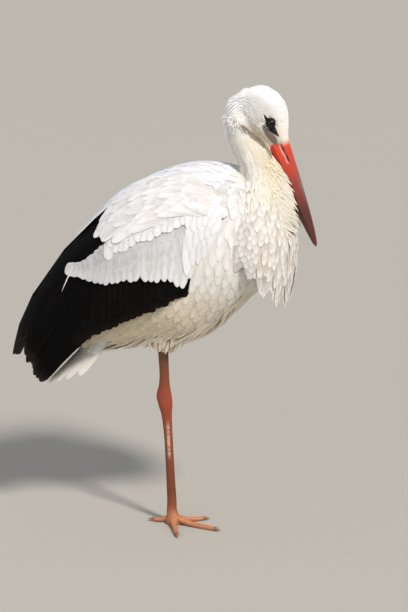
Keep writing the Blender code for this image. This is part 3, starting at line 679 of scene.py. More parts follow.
def coat_at(points):
    """The lie, length, depth and colour of the coat at these points."""
    values = np.where(is_head(points)[:, None], blend(points, HEAD_GUIDES), blend(points, BODY_GUIDES))
    along, across, aside = in_head(points).T
    crease = np.abs(across - np.interp(along, *np.transpose(JAW)))
    # Painted shadow: the crease of the jaw is dark on both sides of the face, from behind the eye to the
    # bill's root.
    dark = smooth_step(0.0048, 0.0010, crease) * smooth_step(-0.070, -0.046, along)
    dark = dark * smooth_step(0.012, 0.004, along) * smooth_step(0.004, 0.012, np.abs(aside))
    colour = over(values[:, 4:7], "#5d4631", 0.85 * dark)
    return unit(columns(values[:, 0], 0.0, values[:, 1])), values[:, 2], values[:, 3], colour


SPINE = np.array([  # x and z, from the face to the vent
    (0.196, 0.655), (0.165, 0.700), (0.130, 0.728), (0.111, 0.700), (0.120, 0.660), (0.143, 0.620),
    (0.145, 0.560), (0.100, 0.500), (0.030, 0.470), (-0.040, 0.430), (-0.110, 0.385), (-0.170, 0.320),
])


def unwrap(points):
    """The skin laid flat: across is the way round the body and up is the way along its spine."""
    length = np.concatenate([[0], np.cumsum(np.linalg.norm(np.diff(SPINE, axis=0), axis=1))])
    flat = points[:, [0, 2]]
    best, place, height = np.full(len(points), 9.0), np.zeros(len(points)), np.zeros(len(points))
    for k in range(len(SPINE) - 1):
        a, way = SPINE[k], SPINE[k + 1] - SPINE[k]
        t = np.clip(((flat - a) @ way) / (way @ way), 0, 1)
        off = flat - (a + t[:, None] * way)
        gap = np.linalg.norm(off, axis=1)
        nearer = gap < best
        rise = off @ (np.array([-way[1], way[0]]) / np.linalg.norm(way))
        best = np.where(nearer, gap, best)
        place = np.where(nearer, (length[k] + t * (length[k + 1] - length[k])) / length[-1], place)
        height = np.where(nearer, rise, height)
    angle = np.arctan2(points[:, 1] - MIDDLE_Y, height)
    return columns(0.02 + 0.96 * (angle / (2 * math.pi) + 0.5), 0.02 + 0.96 * place)


# ---------------------------------------------------------------- the skin
FLESH = ("head", "neck", "breast", "trunk", "vent", "thigh_right")
STRIPE = (  # the black bare stripe through the eye: along, across and half width
    (-0.0533, 0.0097, 0.0004), (-0.0450, 0.0104, 0.0022), (-0.0345, 0.0136, 0.0068),
    (-0.0240, 0.0130, 0.0056), (-0.0160, 0.0145, 0.0030), (-0.0095, 0.0165, 0.0010),
)
LORE = (  # the grey bare skin in front of it and below
    (-0.0340, 0.0010, 0.0030), (-0.0200, 0.0036, 0.0056), (-0.0080, 0.0068, 0.0054), (0.0000, 0.0070, 0.0040),
)


def gap_from(place, band):
    """How far, in metres, a place in the head is from a band of given half widths. Inside it is negative."""
    band = np.array(band)
    best = np.full(len(place), 9.0)
    for first, last in zip(band[:-1], band[1:]):
        way = last[:2] - first[:2]
        t = np.clip(((place[:, :2] - first[:2]) @ way) / (way @ way), 0, 1)
        gap = np.linalg.norm(place[:, :2] - (first[:2] + t[:, None] * way), axis=1)
        best = np.minimum(best, gap - (first[2] * (1 - t) + last[2] * t))
    return best


def even_out(points, pairs, rounds):
    """Moves each point halfway to the middle of its neighbours."""
    count = np.bincount(pairs.ravel(), minlength=len(points))[:, None]
    for _ in range(rounds):
        total = np.zeros_like(points)
        for axis in range(3):
            total[:, axis] = (np.bincount(pairs[:, 0], points[pairs[:, 1], axis], len(points))
                              + np.bincount(pairs[:, 1], points[pairs[:, 0], axis], len(points)))
        points = (points + total / count) / 2
    return points


def smooth_mesh(mesh, rounds):
    pairs = np.zeros(len(mesh.edges) * 2, np.int32)
    mesh.edges.foreach_get("vertices", pairs)
    move_points(mesh, even_out(points_of(mesh), pairs.reshape(-1, 2), rounds))
    mesh.update()


def in_face_patch(place):
    """True for places in the head where the skin is finely divided, so that the stripe's edge is crisp."""
    along, across, aside = place.T
    return (along > -0.062) & (along < 0.010) & (across > -0.016) & (across < 0.030) & (np.abs(aside) > 0.006)


def one_form():
    """The flesh as one closed surface, with balls that fill out the back of the head and the bill's root."""
    bm = bmesh.new()
    for name in FLESH:
        bm.from_mesh(frame["nodes"][name].data)
    bmesh.ops.remove_doubles(bm, verts=bm.verts, dist=1e-5)
    for centre, radius in (((0.1175, MIDDLE_Y, 0.7175), 0.0235), (head_frame(0.0015, 0.0175, 0.0), 0.0118)):
        bmesh.ops.create_uvsphere(bm, u_segments=24, v_segments=16, radius=radius,
                                  matrix=Matrix.Translation(Vector(centre)))
    mesh = bpy.data.meshes.new("skin")
    bm.to_mesh(mesh)
    bm.free()
    rough = new_object("skin", mesh)
    remesh = rough.modifiers.new("one form", "REMESH")
    remesh.mode = "VOXEL"
    remesh.voxel_size = 0.003
    plain = bpy.data.meshes.new_from_object(rough.evaluated_get(bpy.context.evaluated_depsgraph_get()))
    bpy.data.objects.remove(rough)
    return plain


THIGH_END = 0.320  # where the thigh's skin ends


def shorten_thigh(points):
    """The thigh's skin ends short, so that its plumes hang free round the shank."""
    low = (points[:, 2] < THIGH_END) & (np.abs(points[:, 0] + 0.010) < 0.030) & (points[:, 1] < 0.006)
    points[low, 2] = THIGH_END + (points[low, 2] - THIGH_END) * 0.25
    return points


def divide_face(mesh):
    """Cuts the skin of the face into small faces."""
    bm = bmesh.new()
    bm.from_mesh(mesh)
    near = [f for f in bm.faces if in_face_patch(in_head(np.array(f.calc_center_median())[None]))[0]]
    bmesh.ops.subdivide_edges(bm, edges=list({e for f in near for e in f.edges}), cuts=3, use_grid_fill=True)
    bm.to_mesh(mesh)
    bm.free()


def make_skin(material):
    """One skin for all the flesh, inside the solids by the depth of the coat."""
    mesh = one_form()
    smooth_mesh(mesh, 6)
    points, out = points_of(mesh), points_of(mesh, normals=True)
    move_points(mesh, points - out * coat_at(points)[2][:, None])
    smooth_mesh(mesh, 3)
    move_points(mesh, shorten_thigh(points_of(mesh)))
    divide_face(mesh)
    smooth_mesh(mesh, 4)
    points = points_of(mesh)
    place = in_head(points)
    tint = over(coat_at(points)[3], "#73665d", smooth_step(0.0012, -0.0010, gap_from(place, LORE)))
    set_tint(mesh, over(tint, "#0a0807", smooth_step(0.0006, -0.0004, gap_from(place, STRIPE))))
    mesh.materials.clear()
    mesh.materials.append(material)
    mesh.shade_smooth()
    return new_object("skin", mesh)


# ---------------------------------------------------------------- the coat of small feathers
def arc(bend):
    """A strip that bends up and then down along its length."""

    def face(u, v):
        return columns(u, v, 0.62 * bend * u - bend * u**2)

    return face


def coat_tree():
    """Sets a feather on each root, turned to its lie, with its patch of the unwrapped skin."""
    tree = bpy.data.node_groups.new("coat of feathers", "GeometryNodeTree")
    sockets = tree.interface
    sockets.new_socket("Geometry", in_out="OUTPUT", socket_type="NodeSocketGeometry")
    for name, kind in (("Roots", "Geometry"), ("Feathers", "Collection"), ("Length", "Float"),
                       ("Width", "Float"), ("Patch", "Float"), ("Material", "Material")):
        sockets.new_socket(name, in_out="INPUT", socket_type="NodeSocket" + kind)
    given = add(tree, "NodeGroupInput").outputs
    stored = {key: add(tree, "GeometryNodeInputNamedAttribute", {"Name": key}, data_type=kind)
              for key, kind in (("up", "FLOAT_VECTOR"), ("lie", "FLOAT_VECTOR"), ("size", "FLOAT_VECTOR"),
                                ("vane", "FLOAT_VECTOR"), ("root_map", "FLOAT_VECTOR"), ("kind", "INT"))}
    feathers = add(tree, "GeometryNodeCollectionInfo",
                   {"Collection": given["Feathers"], "Separate Children": True, "Reset Children": True})
    turn = add(tree, "FunctionNodeAxesToRotation",
               {"Primary Axis": stored["up"], "Secondary Axis": stored["lie"]},
               primary_axis="Z", secondary_axis="X")
    stretch = add(tree, "ShaderNodeCombineXYZ", {0: given["Length"], 1: given["Width"], 2: given["Length"]})
    size = add(tree, "ShaderNodeVectorMath", {0: stored["size"], 1: stretch}, operation="MULTIPLY")
    placed = add(tree, "GeometryNodeInstanceOnPoints",
                 {"Points": given["Roots"], "Instance": feathers, "Pick Instance": True,
                  "Instance Index": stored["kind"], "Rotation": turn, "Scale": size})
    real = add(tree, "GeometryNodeRealizeInstances", {0: placed})
    centred = add(tree, "ShaderNodeVectorMath", {0: stored["vane"], 1: (-0.5, -0.5, 0.0)}, operation="ADD")
    scaled = add(tree, "ShaderNodeVectorMath", {0: centred, "Scale": given["Patch"]}, operation="SCALE")
    patch = add(tree, "ShaderNodeVectorMath", {0: scaled, 1: stored["root_map"]}, operation="ADD")
    mapped = add(tree, "GeometryNodeStoreNamedAttribute",
                 {"Geometry": real, "Name": "OFBake", "Value": patch}, data_type="FLOAT2", domain="CORNER")
    shown = add(tree, "GeometryNodeSetMaterial", {"Geometry": mapped, "Material": given["Material"]})
    add(tree, "NodeGroupOutput", {0: shown})
    return tree


def steady_chance(points):
    """A random number from 0 to 1 that is always the same at a place."""
    return np.abs(np.sin(points @ np.array([12989.8, 78233.0, 37719.0]))) * 43758.5453 % 1


def thin_out(places, reach):
    """The places that keep clear of all those kept before them, each by its own reach."""
    size = reach.max()
    cells, kept = {}, []
    for n, place in enumerate(places):
        key = (place // size).astype(int)
        near = (m for step in NEIGHBOURS for m in cells.get(tuple(key + step), ()))
        if all(np.sum((places[m] - place) ** 2) >= reach[n] ** 2 for m in near):
            cells.setdefault(tuple(key), []).append(n)
            kept.append(n)
    return kept


def scatter(skin, spacing, wanted, seed):
    """Roots spread evenly over the skin. spacing(points) is how far apart they are, wanted(points) where."""
    tries, closest = 2.6, 0.78  # draws for each root, and the least distance as a share of the spacing
    draw = np.random.default_rng(seed)
    mesh = skin.data
    mesh.calc_loop_triangles()
    corners = np.zeros(len(mesh.loop_triangles) * 3, np.int32)
    mesh.loop_triangles.foreach_get("vertices", corners)
    corners = corners.reshape(-1, 3)
    points, out = points_of(mesh), points_of(mesh, normals=True)
    a, b, c = (points[corners[:, k]] for k in range(3))
    area = np.linalg.norm(np.cross(b - a, c - a), axis=1) / 2
    middle = (a + b + c) / 3
    gap = spacing(middle)
    weight = area / gap**2 * wanted(middle)
    number = int(weight.sum() * tries)
    pick = draw.choice(len(corners), number, p=weight / weight.sum())
    r1, r2 = np.sqrt(draw.random(number)), draw.random(number)
    share = columns(1 - r1, r1 * (1 - r2), r1 * r2)[..., None]
    places = (points[corners[pick]] * share).sum(1)
    normals = unit((out[corners[pick]] * share).sum(1))
    kept = thin_out(places, gap[pick] * closest)
    return places[kept], normals[kept]


def grow_coat(name, tree, kinds, roots, normals, material, width, stand, curl, spread, lengths):
    """Feathers on these roots as one plain mesh.

    width is a share of a feather's length, and lengths is a factor on what the guides say. stand is how much
    of the coat's depth the feathers rise through, curl is more rise as a share of their length, and spread
    is how far their lie strays.
    """
    number = len(roots)
    draw = np.random.default_rng(number)
    lie, length, depth, colour = coat_at(roots)
    lie = lie + draw.normal(0, spread, lie.shape)
    lie = unit(lie - normals * np.sum(lie * normals, -1, keepdims=True))
    length = length * lengths * draw.uniform(0.85, 1.15, number)
    rise = (depth / length * stand + curl) * draw.uniform(0.85, 1.15, number)
    tone = 1 + draw.normal(0, COAT_SHADE, (number, 1)) + draw.normal(0, COAT_SHADE * 0.3, (number, 3))
    mesh = bpy.data.meshes.new(name)
    mesh.from_pydata((roots - normals * ROOT_DEPTH).tolist(), [], [])
    vectors = {"up": unit(normals - lie * rise[:, None]), "lie": lie,
               "root_map": np.hstack([unwrap(roots), np.zeros((number, 1))]),
               "size": columns(length, length * width * draw.uniform(0.85, 1.15, number), length)}
    for key, rows in vectors.items():
        layer = mesh.attributes.new(key, "FLOAT_VECTOR", "POINT")
        layer.data.foreach_set("vector", rows.astype(np.float32).ravel())
    kind = draw.integers(0, len(kinds.objects), number).astype(np.int32)
    mesh.attributes.new("kind", "INT", "POINT").data.foreach_set("value", kind)
    set_tint(mesh, np.clip(colour * tone, 0, 1))
    seeds = new_object(name + "_roots", mesh)
    grower = seeds.modifiers.new("coat", "NODES")
    grower.node_group = tree
    named = {item.name: item.identifier for item in tree.interface.items_tree if item.in_out == "INPUT"}
    for key, value in (("Feathers", kinds), ("Length", 1.0), ("Width", 1.0), ("Patch", PATCH),
                       ("Material", material)):
        grower[named[key]] = value
    grown = bpy.data.meshes.new_from_object(seeds.evaluated_get(bpy.context.evaluated_depsgraph_get()))
    bpy.data.objects.remove(seeds)
    for key in (*vectors, "kind"):
        if key in grown.attributes:
            grown.attributes.remove(grown.attributes[key])
    grown.name = name
    grown.shade_smooth()
    grown.set_sharp_from_angle(angle=RIM)
    return new_object(name, grown)


def feather_kinds(name, outline, ring, bends, camber, thickness):
    """Small feathers of unit length along X, each bent more than the last, to be set many times over."""
    group = bpy.data.collections.new(name)
    for k, bend in enumerate(bends):
        plumage = Plumage()
        plumage.add(arc(bend), (0, 0), (1, 0), 0.5, outline, (0, 0), (1, 1, 1), ring=ring,
                    thickness=thickness, camber=camber)
        made = plumage.build(f"{name}_{k}")
        made.data.uv_layers.remove(made.data.uv_layers["OFBake"])
        made.data.color_attributes.remove(made.data.color_attributes["tint"])
        bpy.context.scene.collection.objects.unlink(made)
        group.objects.link(made)
    return group


def wing_shelter(first=0.03, last=0.93, reach=0.012):
    """A test that is true for points of the body that a folded wing hides.

    The wing counts from first to 0.95 of its length and down to last, and reach is how near a point lies.
    """
    grid_u, grid_v = np.meshgrid(np.linspace(first, 0.95, 60), np.linspace(0.06, last, 40), indexing="ij")
    grid = wing_face(grid_u.ravel(), grid_v.ravel())
    tree = KDTree(len(grid))
    for n, p in enumerate(grid):
        tree.insert(p, n)
    tree.balance()
    slack = 0.004  # how far past the wing's face a point may be and still be hidden

    def hidden(points):
        aside = np.abs(points[:, 1] - MIDDLE_Y)
        nearest = grid[np.array([tree.find((p[0], MIDDLE_Y - s, p[2]))[1] for p, s in zip(points, aside)])]
        # The back shows between the wings as far out as this.
        spine = np.interp(points[:, 0], (-0.084, -0.030, 0.036, 0.086), (0.011, 0.015, 0.026, 0.052)) - 0.006
        inside = (aside < np.abs(nearest[:, 1] - MIDDLE_Y) + slack) & (aside > spine)
        close = np.linalg.norm(points[:, [0, 2]] - nearest[:, [0, 2]], axis=1) < reach
        return inside & close & (points[:, 2] > nearest[:, 2] - slack)

    return hidden


def on_head(points):
    """True where the head's feathers grow: not on the stripe, hardly on the lore, not beside the bill."""
    place = in_head(points)
    black = gap_from(place, STRIPE) < 0.0004
    grey = (gap_from(place, LORE) < 0.0022) & (steady_chance(points) > 0.12)
    beside_bill = (place[:, 0] > 0.004) & (place[:, 1] < 0.012)
    return is_head(points) & ~black & ~grey & ~beside_bill


def on_nape(points):
    """True on the hind edge of the head and the upper neck, where feathers stand off."""
    back = points[:, 0] < np.interp(points[:, 2], (0.66, 0.70, 0.725, 0.75), (0.095, 0.099, 0.111, 0.134))
    return back & (points[:, 2] > 0.665) & (in_head(points)[:, 0] < -0.04)


def on_neck(points):
    shoulder = np.interp(points[:, 0], (0.080, 0.112, 0.128), (0.632, 0.618, 0.575))
    return ~is_head(points) & (points[:, 2] > shoulder) & (points[:, 0] > 0.070)


def on_thigh(points):
    return (points[:, 2] < 0.338) & (np.abs(points[:, 0] + 0.010) < 0.034) & (points[:, 1] < 0.004)


def make_coats(skin, material):
    """The small feathers that Geometry Nodes set on the skin."""
    tree = coat_tree()
    tuft = feather_kinds("tuft", ((0.0, 0.3), (0.38, 1.0), (0.75, 0.62)), TUFT_RING,
                         (0.10, 0.14, 0.18), 0.10, 0.03)
    plume = feather_kinds("plume", ((0.0, 0.3), (0.30, 1.0), (0.62, 0.90), (0.88, 0.50)), SLIM_RING,
                          (0.02, 0.05, 0.08), 0.03, 0.008)
    wisp = feather_kinds("wisp", ((0.0, 0.3), (0.30, 1.0), (0.66, 0.72), (0.90, 0.30)), SLIM_RING,
                         (0.04, 0.10, 0.16), 0.08, 0.02)
    under_wing = wing_shelter()

    def on_underside(points):
        hollow = np.linalg.norm((points - FOOT_HOLLOW) / [0.036, 0.024, 0.030], axis=1) < 1
        return (points[:, 2] < 0.36) & ~under_wing(points) & ~hollow & ~on_thigh(points)

    pieces = []
    for name, kinds, where, spacing, width, stand, curl, spread, lengths in (
        ("coat_head", tuft, on_head, 0.21, 0.36, 0.60, 0.032, 0.12, 1.0),
        ("coat_nape", wisp, on_nape, 0.24, 0.15, 1.30, 0.200, 0.14, 0.85),
        ("coat_neck", plume, on_neck, 0.155, 0.24, 0.80, 0.035, 0.09, 1.0),
        ("coat_thigh", plume, on_thigh, 0.20, 0.36, 0.85, 0.020, 0.10, 1.0),
        ("coat_fringe", wisp, on_underside, 0.30, 0.14, 1.30, 0.050, 0.14, 1.0),
    ):
        roots, normals = scatter(skin, lambda p: coat_at(p)[1] * spacing, where, SEED)
        pieces.append(grow_coat(name, tree, kinds, roots, normals, material,
                                width, stand, curl, spread, lengths))
    return pieces


# ---------------------------------------------------------------- breast plumes, wings and tail
def spaced(count, stray=0.0, shift=0.0):
    """Places one step apart, each off by up to stray steps."""
    places = np.arange(count) + shift
    return places + rng.uniform(-stray, stray, count) if stray else places


def shade_of(base, number, spread=0.02, warm=0.006):
    """A slightly different tone of a colour for each feather."""
    tone = 1 + rng.normal(0, spread, (number, 1))
    hue = 1 + rng.normal(0, warm, (number, 1)) * np.array([1, 0.2, -1])
    return np.clip(linear(base) * tone * hue, 0, 1)


def shade_at_root(base, warm=0.0, start=0.35):
    """A finish of painted shade for vanes: darker and warmer at the root, where the vanes over them shade
    them, than at the tip.
    """
    root = np.array([base, base - 0.8 * warm, base - 1.4 * warm])

    def factor(share, side):
        white = smooth_step(start, 0.92, share)[:, None] * (1 - 0.25 * np.abs(side)[:, None])
        return root + (1 - root) * white

    return factor


def lock_edge(around):
    """The breast plumes' lower edge, drawn together into pointed locks."""
    return 1 - 0.17 * (1 - np.abs(np.sin(math.pi * LOCKS * around)) ** 0.6)


def lay_under_plumes(plumage):
    """Long plumes below the others, so that no skin shows between them."""
    count = 44
    around = spaced(count, shift=0.5) / count
    plumage.add(plume_face, columns(around, -0.15), columns(around, 0.97 * lock_edge(around)), 0.0098,
                LONG_END, (-0.0160, -0.0056, -0.0048, -0.0042, -0.0040), shade_of("#efe8dc", count),
                thickness=0.0003, camber=0.02)


def lay_plume_rows(plumage):
    """Overlapping rows from the top down. The last two rows run together into the locks."""
    rows = 12
    for row in range(rows):
        last = row >= rows - 2
        count = 40 if last else 24
        around = np.clip(spaced(count, 0.35, 0.5 * (row % 2)) / count, 0.01, 0.99)
        lock = (np.floor(around * LOCKS) + 0.5) / LOCKS
        tip = around + (lock - around) * (0.75 if last else 0.10)
        low = 0.12 + 0.88 * (row + 1) / rows
        end = low * (lock_edge(tip) if last else 1.0) * rng.uniform(0.94, 1.01, count)
        start = np.maximum(end - rng.uniform(0.24, 0.32, count), -0.16)
        lift = 0.0005 * (row / rows) + rng.uniform(-0.0002, 0.0002, count)
        deep = 0.06 * np.minimum(start, 0.0)
        heights = columns(lift + deep - 0.0044, lift + 0.5 * deep - 0.0028, lift - 0.0020, lift - 0.0014)
        width = rng.uniform(0.0050, 0.0070, count) if last else rng.uniform(0.0066, 0.0092, count)
        plumage.add(plume_face, columns(around, start), columns(tip, np.minimum(end, 1.0)), width,
                    POINTED_END if last else SOFT_END, heights, shade_of("#f7f2ea", count, warm=0.012),
                    bow=rng.uniform(-0.06, 0.06, count), thickness=0.00022, finish=shade_at_root(0.66, 0.08, 0.60),
                    ragged=0.04)


def lay_neck_feathers(plumage):
    """The lower neck's own feathers, cream in front, which run out over the plumes."""
    count = 340
    around = (np.arange(count) * GOLDEN) % 1 * 0.98 + 0.01
    start = rng.uniform(-0.46, -0.02, count)
    cream = smooth_step(-0.7, 0.7, np.cos(plume_angle(around))) * smooth_step(0.10, -0.14, start)
    end = columns(around + rng.normal(0, 0.006, count), start + rng.uniform(0.16, 0.22, count))
    plumage.add(throat_face, columns(around, start), end, rng.uniform(0.0034, 0.0052, count), SOFT_END,
                (-0.0046, -0.0022, -0.0012, -0.0004), over(linear("#f6f2ea"), "#efe2c6", cream), camber=0.04,
                bow=rng.uniform(-0.05, 0.05, count), thickness=0.00018, finish=shade_at_root(0.84, 0.04),
                map_place=columns(0.03 + 0.94 * around, 0.5 + start))


def lay_neck_hairs(plumage):
    """Fine hairlike ends of the neck's feathers over the plumes."""
    count = 220
    around = rng.uniform(0.06, 0.94, count)
    start = rng.uniform(-0.16, 0.06, count)
    cream = smooth_step(0.2, 0.9, np.cos(plume_angle(around))) * smooth_step(0.10, -0.10, start)
    end = columns(around + rng.normal(0, 0.012, count), start + rng.uniform(0.14, 0.24, count))
    plumage.add(plume_face, columns(around, start), end, rng.uniform(0.0012, 0.0022, count), POINTED_END,
                (-0.0040, -0.0012, -0.0008), over(linear("#f3ede0"), "#ecdcb6", cream), ring=SLIM_RING,
                camber=0.1, bow=rng.uniform(-0.08, 0.08, count))


def make_breast_plumes(material):
    """Long plumes over the breast, and the neck's feathers that run out over them."""
    plumage = Plumage()
    lay_under_plumes(plumage)
    lay_plume_rows(plumage)
    lay_neck_feathers(plumage)
    lay_neck_hairs(plumage)
    return plumage.build("breast_plumage", material)


def make_bib():
    """Loose pointed feathers of the throat and breast that lie over the bill's lower edge."""
    plumage = Plumage()
    count = 70
    fall = 0.030 + 0.098 * (np.arange(count) + rng.uniform(0, 1, count)) / count
    aside = rng.uniform(0.016, 0.033, count)
    length = rng.uniform(0.026, 0.040, count)
    plumage.add(bib_face, columns(fall - length, aside + 0.9 * length), columns(fall, aside),
                rng.uniform(0.0020, 0.0036, count), POINTED_END, (-0.0060, -0.0016, -0.0004, 0.0004),
                shade_of("#f1e8d4", count, 0.03), ring=SLIM_RING, camber=0.05,
                bow=rng.uniform(-0.06, 0.06, count), finish=shade_at_root(0.92, 0.02),
                map_place=columns(0.1 + 6 * fall, 10 * aside))
    return plumage


def make_body_plumage(left):
    """Large soft feathers of one side of the breast, the flank, the belly and the vent, overlapping."""
    plumage = Plumage()
    tips = np.array([(along, place) for row, along in enumerate(np.arange(0.10, 1.05, 0.040))
                     for place in np.arange(0.06 + 0.022 * (row % 2), 1.04, 0.045)])
    tips = tips + rng.uniform(-0.010, 0.010, (len(tips), 2))
    spots = body_face(*tips.T)
    shown = ~wing_shelter(0.0, 1.0, 0.008)(spots) & ((tips[:, 0] > 0.16) | (tips[:, 1] > 0.55))
    if left:
        foot = (spots - mirrored(FOOT_HOLLOW)) / [0.040, 0.034, 0.034]
        shown &= np.linalg.norm(foot, axis=1) > 1
    tips, spots = tips[shown], spots[shown]
    count = len(tips)
    along, place = tips.T
    turn = np.interp(along, (0.2, 0.5, 0.8), (14, 44, 66)) + 30 * smooth_step(0.70, 1.0, place)
    turn = np.radians(turn + 55 * smooth_step(0.36, 0.16, place)) + rng.normal(0, 0.05, count)
    length = 0.050 * rng.uniform(0.9, 1.15, count)
    back = columns(np.sin(turn) * length / 0.36, np.cos(turn) * length / 0.34)
    colour = coat_at(spots)[3] * (1 + rng.normal(0, 0.015, (count, 1)))
    lift = rng.uniform(-0.0002, 0.0002, count)
    plumage.add(body_face, tips - back, tips, rng.uniform(0.0092, 0.0112, count), SOFT_END,
                columns(lift - 0.0036, lift - 0.0018, lift - 0.0010, lift - 0.0004), colour, camber=0.015,
                thickness=0.00018, finish=shade_at_root(0.86, 0.04, 0.50), ragged=0.03)
    return plumage


def lay_thigh_plumes(plumage):
    """Rows round the thigh. The lower ones are pointed and hang free of the shank."""
    rows, count = 5, 15
    for row in range(rows):
        around = spaced(count, 0.3, 0.5 * (row % 2)) / count
        low = 0.22 + 0.76 * (row + 1) / rows + rng.uniform(-0.16, 0.12, count)
        width = rng.uniform(0.0040, 0.0056, count) * (1.2 - 0.13 * row)
        plumage.add(thigh_face, columns(around, low - 0.48), columns(around, low), width,
                    POINTED_END if row > 2 else SOFT_END, (-0.0030, -0.0004, 0.0008),
                    shade_of("#ecdcc0", count, 0.03), camber=0.06, finish=shade_at_root(0.90, 0.02), ragged=0.06)


def lay_loose_plumes(plumage):
    """Soft plumes whose ends stand off the belly and the vent."""
    count = 170
    along = rng.uniform(0.34, 1.10, count)
    place = rng.uniform(0.84, 1.16, count)
    loose = rng.uniform(0.003, 0.010, count) * np.interp(along, (0.4, 0.7), (0.4, 1.0))
    plumage.add(body_face, columns(along - 0.15, place - 0.02 * np.sign(1 - place)), columns(along, place),
                rng.uniform(0.0066, 0.0092, count), SOFT_END, columns(-0.003, 0.1 * loose, loose),
                shade_of("#f0e2c8", count), camber=0.05, finish=shade_at_root(0.92, 0.02), ragged=0.08,
                bow=rng.uniform(-0.08, 0.08, count))


def make_soft_plumes(material):
    """Loose soft plumes round the thigh and under the tail."""
    plumage = Plumage()
    lay_thigh_plumes(plumage)
    lay_loose_plumes(plumage)
    return plumage.build("soft_plumes", material)


def make_mantle(material):
    """Smooth feathers over the back between the wings, tinted bluish grey as painted shade of the neck."""
    plumage = Plumage()
    for row, along in enumerate(np.arange(0.10, 1.0, 0.065)):
        broad = along < 0.4  # the back narrows behind the shoulders
        count = 7 if broad else 4
        across = spaced(count, 0.15, 0.5 * (row % 2)) / (count - 0.5)
        end = along + 0.02 - 0.05 * np.abs(2 * across - 1) + rng.uniform(-0.012, 0.012, count)
        fan = 0.5 + (across - 0.5) * (0.72 if broad else 0.95)
        width = rng.uniform(0.0095, 0.0120, count) * (1.0 if along < 0.5 else 0.8)
        plumage.add(mantle_face, columns(end - 0.20, fan), columns(end, np.clip(across, 0.02, 0.98)), width,
                    SOFT_END, (-0.0034, -0.0014, -0.0006), shade_of("#e6e6ec", count, 0.015),
                    thickness=0.00025, finish=shade_at_root(0.93))
    return plumage.build("mantle", material)


def scapular_tip(down):
    """How far along the wing the scapulars reach. Their rear end is rounded."""
    upper = np.sin(np.minimum(down / 0.30, 1.0) * math.pi / 2)
    return 0.372 + 0.096 * upper - 0.10 * smooth_step(0.33, 0.56, down)


def scapular_edge(along):
    """The scapulars' lower edge."""
    return np.interp(along, (0.0, 0.06, 0.17, 0.40), (0.30, 0.42, 0.52, 0.52))


def covert_edge(along):
    """The lower edge of the coverts, lowest where the long front ones hang down."""
    return np.interp(along, (0.0, 0.065, 0.11, 0.155, 0.235, 0.31, 0.41, 0.48, 0.56, 0.60),
                     (0.92, 0.945, 0.975, 0.905, 0.863, 0.812, 0.763, 0.675, 0.53, 0.45))


def make_scapulars():
    """The long white shoulder feathers that lie over the folded wing's upper half."""
    plumage = Plumage()
    rows, count = 7, 10
    for row in range(1, rows):
        down = np.clip(spaced(count, 0.2, 0.5 * (row % 2)) / (count - 0.5), 0, 1)
        level = (row + 1) / rows
        edge = scapular_edge(0.45 * level)
        down = np.clip(down * edge + rng.uniform(-0.020, 0.020, count), 0.004, edge)
        reach = scapular_tip(down) * (0.03 + 0.97 * level) + rng.uniform(-0.018, 0.008, count)
        begin = np.maximum(reach - (0.15 + 0.05 * level), -0.12)
        ahead = np.minimum(begin, 0.0)  # how far a feather begins in front of the wing's bend
        start = columns(begin, down * (0.97 - 0.10 * level) * (1 + 3.0 * ahead))
        plumage.add(wing_face, start, columns(reach, down), rng.uniform(0.0105, 0.0135, count),
                    ROUND_END if row == rows - 1 else SOFT_END,
                    columns(-0.0042 + 0.10 * ahead, -0.0026, -0.0018 + 0.0006 * level),
                    shade_of("#f8f6f3", count), camber=0.02, roll=-0.0002, finish=shade_at_root(0.80, 0.04, 0.50),
                    bow=rng.uniform(-0.04, 0.04, count))
    return plumage


def lay_long_coverts(plumage):
    """The greater coverts, greyer to the rear with painted shade from the scapulars, and the one white streak
    behind them.
    """
    count = 24
    along = spaced(count, 0.30) / (count - 1) * 0.585
    edge = covert_edge(along) + rng.uniform(-0.007, 0.005, count)
    rear = np.interp(along, (0.38, 0.50, 0.60), (0.0, 0.0018, 0.0026))
    start = np.minimum(scapular_edge(along) - 0.05, edge - 0.12)
    plumage.add(wing_face, columns(along - 0.004, start), columns(along + 0.010, edge),
                0.0128 * rng.uniform(0.92, 1.10, count), LONG_END,
                columns(rear - 0.0068, rear - 0.0050, rear - 0.0044),
                shade_of("#eae9e5", count, 0.03) * np.interp(along, (0.12, 0.45), (1.08, 0.88))[:, None],
                camber=0.012, roll=0.0001, finish=shade_at_root(0.80, start=0.45))
    plumage.add(wing_face, (0.572, 0.42), (0.634, 0.552), 0.0014, POINTED_END, (-0.002, 0.0),
                linear("#dedbd5"), ring=SLIM_RING, thickness=0.0003, camber=0.12)


def lay_small_coverts(plumage):
    """Two arcs of rounder coverts over the roots of the long ones."""
    count = 17
    for level, length, width, shift in ((1.00, 0.22, 0.0100, 0.5), (0.45, 0.18, 0.0095, 0.0)):
        along = spaced(count, 0.2, shift) / count * 0.40
        top = scapular_edge(along) - 0.04
        low = np.interp(along, (0.0, 0.05, 0.13, 0.20, 0.44), (0.50, 0.56, 0.61, 0.635, 0.60))
        end = top + (low - top) * level + rng.uniform(-0.016, 0.016, count)
        lift = 0.0004 * (1 - level)  # the upper arc lies over the lower one
        plumage.add(wing_face, columns(along, end - length), columns(along + 0.012, end),
                    width * rng.uniform(0.9, 1.1, count), ROUND_END,
                    (-0.0056, -0.0042 + lift, -0.0036 + lift), shade_of("#f6f5f3", count),
                    camber=0.02, roll=0.0002, finish=shade_at_root(0.88))


def lay_front_coverts(plumage):
    """Small feathers on the wing's front edge, from the shoulder down to the bend."""
    rows, count = 6, 5
    for row in range(rows):
        along = spaced(count, shift=0.5 * (row % 2)) / count * 0.11 - 0.012
        end = 0.16 + 0.76 * (row + 1) / rows + rng.uniform(-0.03, 0.02, count)
        plumage.add(wing_face, columns(along - 0.004, end - 0.30), columns(along + 0.014, end),
                    rng.uniform(0.0090, 0.0110, count), SOFT_END, (-0.0052, -0.0036, -0.0030),
                    shade_of("#f3f2f0", count))


def make_coverts():
    """White and grey-white wing coverts."""
    plumage = Plumage()
    lay_long_coverts(plumage)
    lay_small_coverts(plumage)
    lay_front_coverts(plumage)
    return plumage


